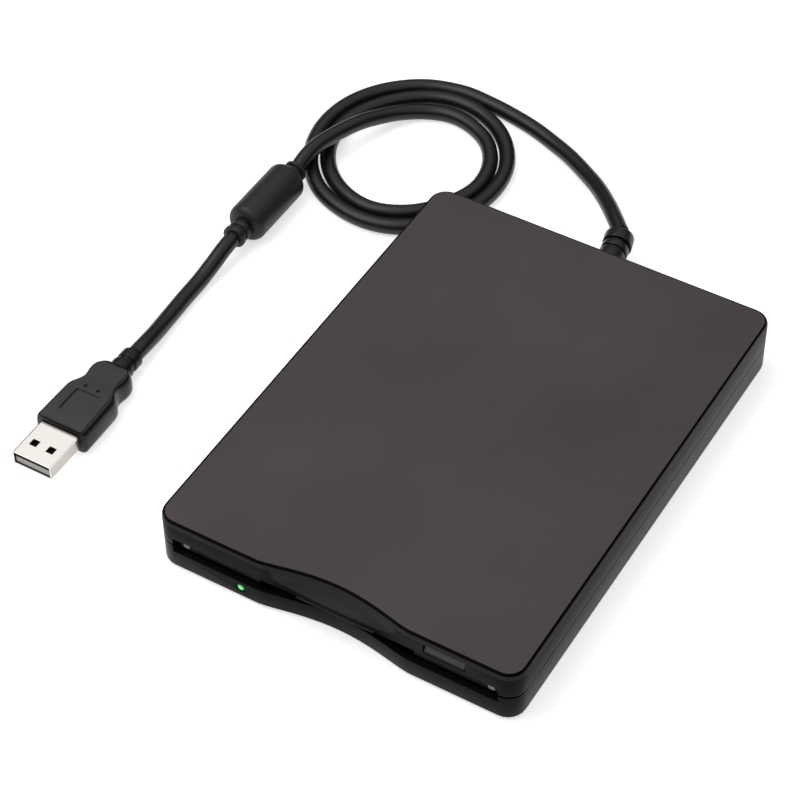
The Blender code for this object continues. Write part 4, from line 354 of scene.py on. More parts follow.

# %% [markdown]
# With the shares named, a cover reads like its own description: the wall first, then what lies over
# it, in order. The numbers are linear colours and roughnesses, matched to the photo.
# %% The two covers
# A near-black finish without sheen: painted shade at the rounded edge and beside the parting.
shade_black = ((0.0015, 0.0015, 0.0017), 0.26)
upper_plastic = banded(
    "upper_cover_plastic",
    first=((0.0090, 0.0085, 0.0110), 0.30),
    layers=(
        # Painted light on the scoop's slope.
        (((0.0380, 0.0365, 0.0375), 0.36), scoop_painted_light),
        # Painted highlight on the rim.
        (((0.0330, 0.0315, 0.0345), 0.30), rim_highlight),
        # Painted shade on the rounded edge.
        (shade_black, on_the_edge),
        (((0.0845, 0.0735, 0.0725), 0.55), on_the_roof),
        # Painted shade beside the parting groove.
        (shade_black, parting_shade),
    ),
    shade_lines=(roof_line_shade, parting_shade),
    grain=0.00045,
    depth=0.00003,
    gloss=0.042,
)
lower_plastic = banded(
    "lower_cover_plastic",
    first=((0.0072, 0.0072, 0.0085), 0.30),
    # Painted shade beside the parting groove.
    layers=((shade_black, parting_shade),),
    shade_lines=(parting_shade,),
    grain=0.0005,
    depth=GRAIN_DEPTH,
    gloss=0.034,
)
print("covers:", upper_plastic.name, lower_plastic.name)

# %% [markdown]
# The button's face is edged by a dark line of painted shade, where it is rounded and sinks into its
# opening. The flat cable is a ribbon of moulded wires, and a sine across it gives the even ridges,
# with painted shade in the grooves.
# %% Button and ribbon


def rimmed(name, face, rim, low, high, border):
    """Plastic whose face is edged by a darker line of painted shade: low and high are the piece's
    corners.
    """
    material, inputs, place, fine = plastic_surface(name, 0.2, 0.0006)
    inside = place.axis(0).ramp(low.x, low.x + border)
    inside = inside * place.axis(0).ramp(high.x, high.x - border)
    inside = inside * place.axis(2).ramp(low.z + border, low.z + 2 * border)
    inside = inside * place.axis(2).ramp(high.z, high.z - border)
    lead(inside.mix(rim, drifted(place, fine, face, 0.08)), inputs["Base Color"])
    grained(inputs, fine, 0.34)
    return material


def ribbed(name, colour, pitch, depth):
    """A flat ribbon whose wires show as even ridges along Y, painted darker in the grooves as
    shade.
    """
    material, tree, inputs = surface(name, {"Specular IOR Level": 0.5})
    place = object_place(tree)
    ridge = (place.axis(0) * (2 * math.pi / pitch)).math("SINE")
    # The grooves between the wires are painted darker, as shade.
    groove = [channel * 0.7 for channel in colour]
    lead(ridge.ramp(-1.0, 0.2).mix(groove, colour), inputs["Base Color"])
    lead(noise(place, 0.001) * 0.2 + 0.3, inputs["Roughness"])
    lead(bumped(ridge, depth, GRAIN_STRENGTH), inputs["Normal"])
    return material


key_face = (0.064, 0.060, 0.062)
# Near black: painted shade round the button's face.
key_rim_shade = (0.0015, 0.0015, 0.0015)
KEY_BORDER = 0.00035
key_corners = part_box("eject_button")
button_plastic = rimmed("eject_button_plastic", key_face, key_rim_shade, *key_corners, KEY_BORDER)
ribbon_plastic = ribbed("ribbon_plastic", (0.52, 0.52, 0.50), 0.001, 0.0001)
print("plastics now:", len(bpy.data.materials))

# %% [markdown]
# The metal pieces are of three kinds. Sheet steel with a zinc coat shows faint cloudy crystals.
# Ground shafts, screws and springs are brighter and are brushed round. The plug's shell is nickel
# plate, nearly a mirror on its wide faces, darker down its narrow sides, and rough inside, where it
# is painted dark as shade. All of them are fully metallic, so the colour is the colour of the
# reflection, and what tells them apart is the roughness and its pattern.
# %% Metals
STREAK_DEPTH = 0.000002
STREAK_STRENGTH = 0.5


def streaked_metal(name, grain, stretch):
    """A new metal with its inputs, and noise drawn out along one direction."""
    material, tree, inputs = surface(name, {"Metallic": 1.0})
    streak = noise(object_place(tree, stretch), grain, 4.0, 0.6)
    lead(bumped(streak, STREAK_DEPTH, STREAK_STRENGTH, EDGE_RADIUS / 2), inputs["Normal"])
    return material, inputs, streak


def metal(name, colour, roughness, grain, spread, stretch=(1, 1, 1)):
    """Plated or ground steel: streaks of roughness along one direction."""
    material, inputs, streak = streaked_metal(name, grain, stretch)
    dark = [channel * 0.86 for channel in colour]
    lead(streak.ramp(0.25, 0.75).mix(dark, colour), inputs["Base Color"])
    lead((streak - 0.5) * spread + roughness, inputs["Roughness"])
    return material


zinc_sheet = metal("zinc_sheet", (0.62, 0.63, 0.64), 0.38, 0.004, 0.25)
bright_steel = metal("bright_steel", (0.50, 0.50, 0.51), 0.24, 0.0006, 0.12, (1, 0.2, 1))
coil_copper = metal("coil_copper", (0.62, 0.26, 0.10), 0.34, 0.0005, 0.20, (1, 1, 3))
coil_steel = metal("coil_steel", (0.34, 0.34, 0.35), 0.42, 0.0008, 0.15)
solder_tin = metal("solder_tin", (0.66, 0.66, 0.64), 0.3, 0.001, 0.1)
print("plastics and metals:", len(bpy.data.materials))

# %% [markdown]
# At the plug the finish changes with the place again: it has to be known whether a spot is on a
# side of the shell or inside it, where the shell is painted dark as shade. The white tongue is
# painted dark deeper in, as shade too.
# %% The plug's shell and tongue
SHELL_SKIN = 0.00015
SIDE_EDGE = 0.00008
NICKEL = (0.90, 0.855, 0.815)
SIDE_NICKEL = (0.50, 0.475, 0.445)
INSIDE_SHADE = (0.035, 0.034, 0.033)
TONGUE_WHITE = (0.62, 0.62, 0.60)
TONGUE_SHADE = (0.04, 0.04, 0.04)


def plug_nickel(name, low, high):
    """Nickel plate on a folded shell, by the corners of the shell's box."""
    material, inputs, streak = streaked_metal(name, 0.0012, (1, 0.08, 1))
    place = object_place(streak.tree)
    across = (place.axis(0) - (low.x + high.x) / 2).math("ABSOLUTE")
    upward = (place.axis(2) - (low.z + high.z) / 2).math("ABSOLUTE")
    half_width, half_height = (high.x - low.x) / 2, (high.z - low.z) / 2
    on_a_side = across.ramp(half_width - SIDE_EDGE, half_width - SIDE_EDGE / 4)
    between_sides = across.ramp(half_width - SHELL_SKIN, half_width - 2 * SHELL_SKIN)
    between_faces = upward.ramp(half_height - SHELL_SKIN / 2, half_height - SHELL_SKIN)
    behind_mouth = place.axis(1).ramp(low.y + SHELL_SKIN, low.y + 2 * SHELL_SKIN)
    inside = between_sides * between_faces * behind_mouth
    # Inside the shell the dark colour is painted shade.
    lead(inside.mix(on_a_side.mix(NICKEL, SIDE_NICKEL), INSIDE_SHADE), inputs["Base Color"])
    lead((streak - 0.5) * 0.10 + 0.20 + inside * 0.4, inputs["Roughness"])
    return material


def shaded_tongue(name, front):
    """White plastic at the plug's mouth, painted dark deeper in as shade, where no light falls."""
    material, tree, inputs = surface(name, {"Roughness": 0.5, "Specular IOR Level": 0.2})
    depth = object_place(tree).axis(1).ramp(front + 0.00005, front + 0.0003)
    lead(depth.mix(TONGUE_WHITE, TONGUE_SHADE), inputs["Base Color"])
    return material


shell_low, shell_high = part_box("plug_shell")
shell_nickel = plug_nickel("shell_nickel", shell_low, shell_high)
tongue_white = shaded_tongue("contact_tongue_plastic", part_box("contact_tongue")[0].y)
print("plug shell, mm:", in_mm(*(shell_high - shell_low)))

# %% [markdown]
# A few finishes stand alone. Circuit boards are green lacquer over copper tracks, so the tracks
# show as straight darker and lighter lanes. Head sliders are polished ceramic. The lamp is a clear
# green lens with a chip lit behind it: its brightness falls off from the middle of the lens to its
# rim and with the depth behind its front, which reads as depth.
# %% Boards, ceramic and lamp
LACQUER = (0.012, 0.075, 0.030)
LACQUER_ON_COPPER = (0.030, 0.15, 0.055)


def board_lacquer(name):
    """Green lacquer with lanes of copper showing through it."""
    material, tree, inputs = surface(name, {"Roughness": 0.32, "Specular IOR Level": 0.55})
    place = object_place(tree)
    across = noise(object_place(tree, (1, 0.12, 1)), 0.0011, 0.0)
    along = noise(object_place(tree, (0.12, 1, 1)), 0.0013, 0.0)
    lanes = across.ramp(0.50, 0.53) + along.ramp(0.55, 0.58)
    shown = lanes.math("MINIMUM", 1.0)
    lead(shown.mix(LACQUER, LACQUER_ON_COPPER), inputs["Base Color"])
    lead(bumped(lanes + noise(place, 0.003) * 0.2, 0.00002, 0.6), inputs["Normal"])
    return material


green_board = board_lacquer("green_board")
ceramic_cream = (0.72, 0.70, 0.65)
head_ceramic = moulded("head_ceramic", ceramic_cream, 0.12, 0.002, GRAIN_DEPTH / 10, drift=0.04)


LENS_RIM_GREEN = (0.0, 0.05, 0.012)
LENS_MIDDLE_GREEN = (0.12, 0.85, 0.20)
LENS_GREEN = (0.01, 0.22, 0.04)
LENS_DEEP = (0.002, 0.003, 0.002)


def lit_lens(name, centre, radius):
    """A clear green lens, brightest in its middle and dark behind its front."""
    material, tree, inputs = surface(name, {"Roughness": 0.12, "Emission Strength": 1.0})
    place = object_place(tree)
    ends = {0: place, 1: centre}
    reach = place.node("ShaderNodeVectorMath", {"operation": "DISTANCE"}, ends, 1)
    core = reach.ramp(radius * 0.34, radius * 0.90, 1.0, 0.0)
    near_front = place.axis(1).ramp(centre[1] + radius / 8, centre[1] + radius / 4, 1.0, 0.0)
    lit = core.mix(LENS_RIM_GREEN, LENS_MIDDLE_GREEN)
    lead(near_front.mix((0, 0, 0), lit), inputs["Emission Color"])
    lead(near_front.mix(LENS_DEEP, LENS_GREEN), inputs["Base Color"])
    return material


lamp_low, lamp_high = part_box("activity_lamp")
lamp_centre = (lamp_low + lamp_high) / 2
LAMP_LENS_RADIUS = 0.00115
lamp_front = (lamp_centre.x, lamp_low.y, lamp_centre.z)
lamp_lens = lit_lens("lamp_lens", lamp_front, LAMP_LENS_RADIUS)
print("lamp, mm:", in_mm(*lamp_front))

# %% [markdown]
# Every solid that stays gets its finish by name. A dictionary is enough, and it also shows at a
# glance which pieces share a material, as they do on a real assembly line.
# %% Finishes for the solids that stay
FINISHES = {
    foot_rubber: ("foot_1", "foot_2", "foot_3", "foot_4"),
    shell_nickel: ("plug_shell",),
    tongue_white: ("contact_tongue",),
    tongue_plastic: ("disk_switch_pin", "protect_switch_pin", "density_switch_pin"),
    green_board: ("lamp_board", "motor_board", "control_board", "usb_board"),
    coil_steel: ("stator",),
    head_ceramic: ("lower_head", "upper_head"),
    carriage_plastic: ("head_carriage", "front_rod_clip", "rear_rod_clip"),
    switch_plastic: ("drive_controller", "usb_controller", "switch_block", "track_sensor"),
    ribbon_plastic: ("flat_cable",),
    bright_steel: ("guide_rod", "lead_screw"),
}
finish_of = {node: material for material, nodes in FINISHES.items() for node in nodes}
for node, solid in frame["nodes"].items():
    solid.data.materials.clear()
    solid.data.materials.append(finish_of.get(node, zinc_sheet))
print("solids in zinc steel:", len(frame["nodes"]) - len(finish_of))

# %% [markdown]
# A finished solid comes as loose triangles, which shade as flat facets. The pieces at the front of
# the picture are therefore copied, their corners merged, and shaded smooth wherever two faces meet
# at a gentle angle, while real edges stay crisp. The copy takes the solid's place and its body.
# %% Smooth copies of the outer pieces
BODIES = frame["record"]["behaviour"]["bodies"]
BODY_OF = {node: body for body, nodes in BODIES.items() for node in nodes}
MERGE = 0.000002
GENTLE = math.radians(24)


def keep_piece(name, mesh, material, body, slot, *nodes):
    """Puts a finished mesh in the scene on its body, in place of these solids."""
    mesh.materials.clear()
    mesh.materials.append(material)
    piece = add_object(name, mesh)
    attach(piece, body)
    if nodes:
        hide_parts(*nodes)
    return piece


def mesh_from(name, shape, gentle=None):
    """The shape as a mesh. With an angle, it is smooth over gentler edges, crisp at the others."""
    if gentle:
        for face in shape.faces:
            face.smooth = True
        for edge in shape.edges:
            edge.smooth = len(edge.link_faces) == 2 and edge.calc_face_angle(0) < gentle
    mesh = bpy.data.meshes.new(name)
    shape.to_mesh(mesh)
    shape.free()
    return mesh


def smooth_copy(name, node, material, slot):
    """A merged copy of one solid, with its flat faces whole again."""
    shape = bmesh.new()
    shape.from_mesh(frame["nodes"][node].data)
    bmesh.ops.remove_doubles(shape, verts=shape.verts, dist=MERGE)
    bmesh.ops.dissolve_limit(
        shape, angle_limit=math.radians(0.1), verts=shape.verts, edges=shape.edges
    )
    mesh = mesh_from(name, shape, GENTLE)
    return keep_piece(name, mesh, material, BODY_OF[node], slot, node)


smooth_copy("upper_shell", "upper_cover", upper_plastic, "shell_black")
smooth_copy("lower_tray", "lower_cover", lower_plastic, "lower_black")
smooth_copy("left_flap", "left_dust_flap", flap_plastic, "flap_black")
smooth_copy("right_flap", "right_dust_flap", flap_plastic, "flap_black")
smooth_copy("eject_key", "eject_button", button_plastic, "button_black")

# %% [markdown]
# Round pieces are turned: a profile of radii along an axis is swept round it. Writing the profile
# as numbers keeps it easy to compare with the photo, ring by ring. The rings are then skinned, and
# the same skin serves later for pieces whose rings aren't round. The first piece is the lamp's
# lens, a short rod with a softened front and a flange that holds it behind the wall.
# %% Turned pieces
TURN_STEPS = 72


def skinned_mesh(name, sections, gentle):
    """A closed skin over rings of the same number of points."""
    shape = bmesh.new()
    rings = [[shape.verts.new(point) for point in section] for section in sections]
    for one, two in zip(rings, rings[1:]):
        for here in range(len(one)):
            after = (here + 1) % len(one)
            shape.faces.new((one[here], one[after], two[after], two[here]))
    shape.faces.new(rings[0])
    shape.faces.new(rings[-1])
    bmesh.ops.recalc_face_normals(shape, faces=shape.faces)
    return mesh_from(name, shape, gentle)


def circle_of(steps):
    """The cosine and sine of each step round a full turn."""
    angles = [2 * math.pi * step / steps for step in range(steps)]
    return [(math.cos(angle), math.sin(angle)) for angle in angles]


def turned_mesh(name, across, profile, gentle=GENTLE):
    """A closed mesh turned round an axis along Y. across is the axis's x and z."""
    x, z = across
    circle = circle_of(TURN_STEPS)
    sections = [[(x + radius * c, y, z + radius * s) for c, s in circle] for radius, y in profile]
    return skinned_mesh(name, sections, gentle)


def quarter(radius, y, turn, curve, steps):
    """Points round a corner: from the face at y to the side at that radius."""
    points = []
    for step in range(steps + 1):
        angle = math.pi / 2 * step / steps
        inset = curve * (1 - math.sin(angle))
        along = curve * (1 - math.cos(angle))
        points.append((radius - inset, y + along * turn))
    return points


def barrel(radius, start, end, curve, steps=6):
    """A round body with rounded corners at both ends."""
    turn = 1 if end > start else -1
    first = quarter(radius, start, turn, curve, steps)
    return first + quarter(radius, end, -turn, curve, steps)[::-1]


FLANGE_RADIUS = 0.00145
FLANGE_THICK = 0.0006
LENS_CURVE = 0.00045
flange_start = lamp_high.y - FLANGE_THICK
lens_profile = [(0.0002, lamp_low.y)] + quarter(LAMP_LENS_RADIUS, lamp_low.y, 1, LENS_CURVE, 6)
lens_profile += [(LAMP_LENS_RADIUS, flange_start), (FLANGE_RADIUS, flange_start)]
lens_profile += [(FLANGE_RADIUS, lamp_high.y)]
lens_mesh = turned_mesh("lamp_dome", (lamp_centre.x, lamp_centre.z), lens_profile)
keep_piece("lamp_dome", lens_mesh, lamp_lens, "case", "lamp_green", "activity_lamp")
print("lens faces:", len(lens_mesh.polygons))

# %% [markdown]
# The cord leaves the back of the case, falls to the floor, runs round one and a half flat loops,
# climbs over itself and enters the ferrite core; a short length goes on to the plug. A cord is a
# round section pushed along one smooth line, so the real work is the line. It is given by points on
# the photo's own loops, joined by a curve that passes through all of them.
# %% The cord's line
CORD_DIAMETER = 0.0047
CORD_REST = 0.0024
CORD_END_GAP = 0.0007
LINE_STEP = 0.0020
BEND_SAMPLES = 24

# The routes are in millimetres. The way out, with its first points in the relief: x and y from the
# middle of the back wall, and the share of the exit's height that is left
WAY_OUT = [
    (0.0, -3.5, 1.00), (0.0, 1.0, 1.00), (-0.1, 5.0, 1.00), (-0.9, 11.0, 1.00),
    (-2.5, 16.5, 1.00),
    (-6.5, 20.9, 0.93), (-11.5, 26.4, 0.76), (-17.8, 32.6, 0.52), (-24.6, 37.9, 0.30),
    (-32.3, 43.0, 0.13),
]
IN_THE_RELIEF = 5
# The loops on the floor: x and y from the back left corner of the case
FLAT_LOOPS = [
    (10.7, 47.0), (3.5, 49.6), (-4.3, 51.5), (-12.2, 52.8), (-22.5, 53.4), (-33.7, 50.3),
    (-42.7, 43.4), (-48.6, 34.3), (-50.9, 24.0), (-49.6, 13.4), (-45.0, 3.5), (-37.0, -4.2),
    (-27.0, -8.4), (-17.0, -9.0), (-8.0, -5.8), (-0.5, 1.4), (4.5, 10.3), (6.3, 20.0),
    (4.9, 29.9), (-0.3, 39.0), (-8.5, 45.7), (-18.5, 48.9), (-28.8, 47.2), (-37.6, 40.9),
    (-43.7, 32.0), (-46.2, 22.0), (-44.1, 12.2), (-38.2, 3.5), (-29.4, -2.4), (-19.5, -4.0),
    (-10.0, -0.1), (-2.7, 7.8), (1.5, 18.0), (0.2, 28.4), (-5.0, 36.6), (-12.4, 41.2),
    (-20.2, 42.7), (-27.6, 40.6),
]
# Over the first turn and down to the core: x and y as before, z from the floor
CROSSING = [
    (-33.4, 35.6, 3.3), (-37.2, 29.0, 4.9), (-39.8, 22.4, 6.5), (-41.9, 15.8, 7.3),
    (-43.5, 9.5, 7.8), (-44.5, 4.5, 7.7), (-45.0, 0.3, 6.8), (-45.0, -3.2, 5.8),
]
# From the core to the plug: x and y from the front end of the core, z from the floor
TAIL_ROUTE = [
    (0.0, 0.0, 5.8), (0.0, -3.1, 5.7), (-0.1, -6.7, 5.1), (-0.2, -10.1, 4.2), (-0.4, -13.7, 3.3),
    (-0.5, -17.1, 2.6), (-0.5, -21.0, 2.4), (-0.4, -25.1, 2.4), (-0.2, -29.0, 2.4),
    (0.0, -33.0, 2.4), (0.3, -36.9, 2.6), (0.7, -40.5, 3.0), (1.0, -43.9, 3.5), (1.2, -47.5, 3.9),
    (1.2, -50.9, 4.0),
]


def smooth_line(route, step):
    """Points at an even step along a smooth curve through the route's own points."""
    knots = [Vector(point) for point in route]
    knots = [2 * knots[0] - knots[1]] + knots + [2 * knots[-1] - knots[-2]]
    fine = []
    for before, start, end, after in zip(knots, knots[1:], knots[2:], knots[3:]):
        for i in range(BEND_SAMPLES):
            t = i / BEND_SAMPLES
            bend = (2 * before - 5 * start + 4 * end - after) * t**2
            bend += (3 * start - before - 3 * end + after) * t**3
            fine.append((2 * start + (end - before) * t + bend) / 2)
    fine.append(knots[-2])
    lengths = [0.0]
    for one, two in zip(fine, fine[1:]):
        lengths.append(lengths[-1] + (two - one).length)
    count = round(lengths[-1] / step)
    points = []
    spot = 0
    for i in range(count + 1):
        target = lengths[-1] * i / count
        while spot < len(fine) - 2 and lengths[spot + 1] < target:
            spot += 1
        share = (target - lengths[spot]) / (lengths[spot + 1] - lengths[spot])
        points.append(fine[spot].lerp(fine[spot + 1], min(max(share, 0.0), 1.0)))
    return points, lengths[-1]


def placed(route, x, y):
    """A route's points in metres, with its x and y counted from there."""
    return [(px * MM + x, py * MM + y, pz * MM) for px, py, pz in route]


relief_low, relief_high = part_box("strain_relief")
core_low, core_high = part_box("ferrite_core")
exit_height = (relief_low.z + relief_high.z) / 2
core_x = (core_low.x + core_high.x) / 2
fall = exit_height - CORD_REST
way_out = [(x * MM, y * MM + case_high.y, CORD_REST + share * fall) for x, y, share in WAY_OUT]
loops = [(x, y, CORD_REST / MM) for x, y in FLAT_LOOPS] + CROSSING
loop_points = placed(loops, case_low.x, case_high.y)
tail_points = placed(TAIL_ROUTE, core_x, core_low.y - CORD_END_GAP)
relief_line, relief_way_length = smooth_line(way_out[:IN_THE_RELIEF], LINE_STEP / 8)
loop_line, loop_length = smooth_line(way_out[IN_THE_RELIEF - 1 :] + loop_points, LINE_STEP)
tail_line, tail_length = smooth_line(tail_points, LINE_STEP)
print("cord, mm:", in_mm(loop_length, tail_length))

# %% [markdown]
# A curve object with a round bevel keeps the section round in every bend, and it stays a curve, so
# its own line is the cord's centre line.
# %% The cord in its two lengths


def run_cord(name, line, material):
    """A round jacket along a line, with closed ends."""
    curve = bpy.data.curves.new(name, "CURVE")
    curve.dimensions = "3D"
    curve.bevel_depth = CORD_DIAMETER / 2
    curve.bevel_resolution = 5
    curve.use_fill_caps = True
    spline = curve.splines.new("POLY")
    spline.points.add(len(line) - 1)
    for point, spot in zip(spline.points, line):
        point.co = (*spot, 1.0)
    spline.use_smooth = True
    curve.materials.append(material)
    cord = add_object(name, curve)
    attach(cord, "case")
    return cord


cord_run = run_cord("cord_jacket_loops", loop_line, jacket_rubber)
tail_run = run_cord("cord_jacket_tail", tail_line, jacket_rubber)
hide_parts("cord_loop")
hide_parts("cord_tail")
print("points on the cord:", len(loop_line), "and", len(tail_line))

# %% [markdown]
# The ferrite core sits in a rubber sleeve: a barrel with well rounded shoulders, and at each end a
# short neck with a bead and a lip, so that the cord can bend there without kinking. All of it is
# round, so one profile turned round the cord's axis makes it.
# %% Core
CORE_RADIUS = 0.0058
CORE_COLLAR = 0.0036
CORE_LIP_RADIUS = 0.0034
CORE_BEAD_RADIUS = 0.0032
CORE_NECK_RADIUS = 0.0026
CORE_SHOULDER = 0.0024
CORE_FRONT_REACH = 0.0018
CORE_LIP_CURVE = 0.0005
CORE_BEAD_CURVE = 0.0004
SLEEVE_GENTLE = 0.6


def collar_profile(start, end):
    """Lip, neck and bead from the end of the sleeve to the barrel."""
    lip, bead_start, bead_end = (start + (end - start) * share for share in (0.34, 0.52, 0.86))
    points = barrel(CORE_LIP_RADIUS, start, lip, CORE_LIP_CURVE)
    points += [(CORE_NECK_RADIUS, lip), (CORE_NECK_RADIUS, bead_start)]
    points += barrel(CORE_BEAD_RADIUS, bead_start, bead_end, CORE_BEAD_CURVE)
    return points + [(CORE_NECK_RADIUS, bead_end), (CORE_NECK_RADIUS, end)]


barrel_front = core_low.y + CORE_COLLAR
barrel_end = core_high.y - CORE_COLLAR
core_profile = collar_profile(core_low.y - CORE_FRONT_REACH, barrel_front)
core_profile += barrel(CORE_RADIUS, barrel_front, barrel_end, CORE_SHOULDER, 10)
core_profile += collar_profile(core_high.y, barrel_end)[::-1]
core_mesh = turned_mesh("core_sleeve", (core_x, CORE_RADIUS), core_profile, SLEEVE_GENTLE)
core_piece = keep_piece(
    "core_sleeve", core_mesh, sleeve_rubber, "case", "cord_black", "ferrite_core"
)
print("core, mm:", in_mm(core_high.y - core_low.y + CORE_FRONT_REACH))

# %% [markdown]
# The relief is round too, but the cord has already begun to bend inside it, so its rings can't be
# turned round a straight axis. Each ring of its profile is placed across the cord's own line
# instead. It starts as a flange inside the wall, goes through the wall as a neck, and shows three
# rings with grooves between them, the last one thickest.
# %% Strain relief
RELIEF_RADIUS = 0.0039
RELIEF_END_RADIUS = 0.0042
RELIEF_GROOVE_RADIUS = 0.0033
RELIEF_FLANGE_RADIUS = 0.0048
RELIEF_NECK_RADIUS = 0.0030
RELIEF_TIP = 0.0027
RELIEF_OVERLAP = 0.0007
RING_CURVE = 0.00045
WALL_INSIDE = 0.0021
WALL_PROUD = 0.0003


def swept_mesh(name, line, profile, steps=TURN_STEPS):
    """A closed round mesh whose rings lie across a line, each a radius and a length along it."""
    sections = []
    spot = 0
    walked = 0.0
    for radius, along in profile:
        while spot < len(line) - 2 and walked + (line[spot + 1] - line[spot]).length < along:
            walked += (line[spot + 1] - line[spot]).length
            spot += 1
        way = (line[spot + 1] - line[spot]).normalized()
        middle = line[spot] + way * (along - walked)
        side = way.cross(Vector((0, 0, 1))).normalized()
        rise = side.cross(way)
        ring = [middle + radius * (c * side + s * rise) for c, s in circle_of(steps)]
        sections.append(ring)
    return skinned_mesh(name, sections, SLEEVE_GENTLE)


wall_inside = case_high.y - WALL_INSIDE - relief_low.y
wall_outside = case_high.y + WALL_PROUD - relief_low.y
relief_length = relief_way_length - RELIEF_OVERLAP
# Each ring: where it starts, where it ends, and its radius
rings = [
    (wall_outside, relief_length - 0.0089, RELIEF_RADIUS),
    (relief_length - 0.0083, relief_length - 0.0059, RELIEF_RADIUS),
    (relief_length - 0.0053, relief_length - 0.0014, RELIEF_END_RADIUS),
]
relief_profile = [
    (RELIEF_FLANGE_RADIUS, 0.0),
    (RELIEF_FLANGE_RADIUS, wall_inside),
    (RELIEF_NECK_RADIUS, wall_inside),
    (RELIEF_NECK_RADIUS, wall_outside),
]
for ring_start, ring_end, radius in rings:
    relief_profile.append((RELIEF_GROOVE_RADIUS, ring_start))
    relief_profile += barrel(radius, ring_start, ring_end, RING_CURVE)
    relief_profile.append((RELIEF_GROOVE_RADIUS, ring_end))
relief_profile += [(RELIEF_TIP + 0.0004, relief_length - 0.0007), (RELIEF_TIP, relief_length)]
relief_mesh = swept_mesh("relief_sleeve", relief_line, relief_profile)
relief_piece = keep_piece(
    "relief_sleeve", relief_mesh, jacket_rubber, "case", "cord_black", "strain_relief"
)
print("relief and end of its last ring, mm:", in_mm(relief_length, ring_end))

# %% [markdown]
# The plug's grip is a soft block with a flat panel above and below, waisted so that fingers hold
# it. It is skinned over cross-sections: each is a flat panel, a small step down, and a rounded
# flank. The step is what draws the panel's outline. A bracket-shaped groove and two dimples are
# pressed into the panel by small cutters, where such plugs have them.
# %% The plug's grip
GRIP_GAP = 0.0003
grip_low, grip_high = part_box("plug_grip")
grip_middle = (grip_low.z + grip_high.z) / 2
grip_half = (grip_high.z - grip_low.z) / 2
grip_x = (shell_low.x + shell_high.x) / 2
grip_face = shell_high.y + GRIP_GAP
GRIP_LENGTH = 0.0257
GRIP_HALF_WIDTH = 0.0080
GRIP_GENTLE = math.radians(32)
PANEL_STEP = 0.00022
FLANK_STEPS = 8
# Along the grip: place, half width, half height, and half width of its panel, as shares
GRIP_SHARES = [
    (0.000, 0.93, 0.88, 0.76), (0.010, 0.97, 0.96, 0.80), (0.030, 1.00, 1.00, 0.83),
    (0.300, 1.00, 1.00, 0.80), (0.520, 1.00, 1.00, 0.76), (0.570, 0.96, 1.00, 0.72),
    (0.620, 0.84, 0.97, 0.66), (0.665, 0.75, 0.95, 0.60), (0.710, 0.70, 0.93, 0.57),
    (0.760, 0.72, 0.93, 0.57), (0.820, 0.77, 0.93, 0.59), (0.880, 0.78, 0.92, 0.59),
    (0.930, 0.74, 0.90, 0.56), (0.970, 0.64, 0.87, 0.46), (1.000, 0.46, 0.80, 0.34),
]


def grip_section(y, half_width, half_height, panel):
    """Half of a ring from the right side over the top to the left, then mirrored below."""
    top = [(panel, half_height), (panel + PANEL_STEP / 2, half_height - PANEL_STEP)]
    start = top[-1]
    for step in range(1, FLANK_STEPS + 1):
        angle = math.pi / 2 * step / FLANK_STEPS
        x = start[0] + (half_width - start[0]) * math.sin(angle)
        top.append((x, start[1] * math.cos(angle) ** 0.75))
    upper_right = top[::-1]
    upper = upper_right + [(-x, z) for x, z in reversed(upper_right)]
    lower = [(x, -z) for x, z in reversed(upper[1:-1])]
    return [(grip_x + x, y, grip_middle + z) for x, z in upper + lower]


sections = []
for share, width, height, panel in GRIP_SHARES:
    sizes = (width * GRIP_HALF_WIDTH, height * grip_half, panel * GRIP_HALF_WIDTH)
    sections.append(grip_section(grip_face + share * GRIP_LENGTH, *sizes))
block_mesh = skinned_mesh("grip_block", sections, GRIP_GENTLE)
print("grip block, mm:", in_mm(GRIP_LENGTH))

# %% [markdown]
# A Boolean cuts the groove and the dimples. The groove's cutter is a thin round wire laid along the
# bracket, half sunk in the panel; each dimple's is a small ball. They are only helpers, so they are
# removed once the cut is part of the mesh. The level faces take the panel's paler finish before the
# cut, so the floors of the groove and of the dimples keep the block's dark colour, which paints
# shade in them.
# %% Groove and dimples in the panel
GROOVE_RADIUS = 0.00032
DIMPLE_RADIUS = 0.00056
panel_top = grip_high.z
BRACKET = [(-0.0033, 0.0046), (-0.0033, 0.0118), (-0.0028, 0.0126), (0.0038, 0.0126)]
GROOVE_LIFT = 0.00006
DIMPLE_LIFT = 0.00010
bracket_points = [(grip_x + x, grip_face + y, panel_top + GROOVE_LIFT) for x, y in BRACKET]
bracket_line, bracket_length = smooth_line(bracket_points, 0.0003)


def groove_cutter(steps=60):
    """A round wire along the bracket, as a mesh."""
    stations = [(GROOVE_RADIUS, bracket_length * step / steps) for step in range(steps + 1)]
    return swept_mesh("groove_wire", bracket_line, stations, 16)


def dimple_cutter(x, y):
    """A small ball at the panel's surface."""
    shape = bmesh.new()
    spot = Matrix.Translation((grip_x + x, grip_face + y, panel_top + DIMPLE_LIFT))
    counts = {"u_segments": 24, "v_segments": 12}
    bmesh.ops.create_uvsphere(shape, radius=DIMPLE_RADIUS, matrix=spot, **counts)
    return mesh_from("dimple", shape)


def joined(name, *meshes):
    """One mesh from several, each left as it is."""
    shape = bmesh.new()
    for mesh in meshes:
        shape.from_mesh(mesh)
    return mesh_from(name, shape)


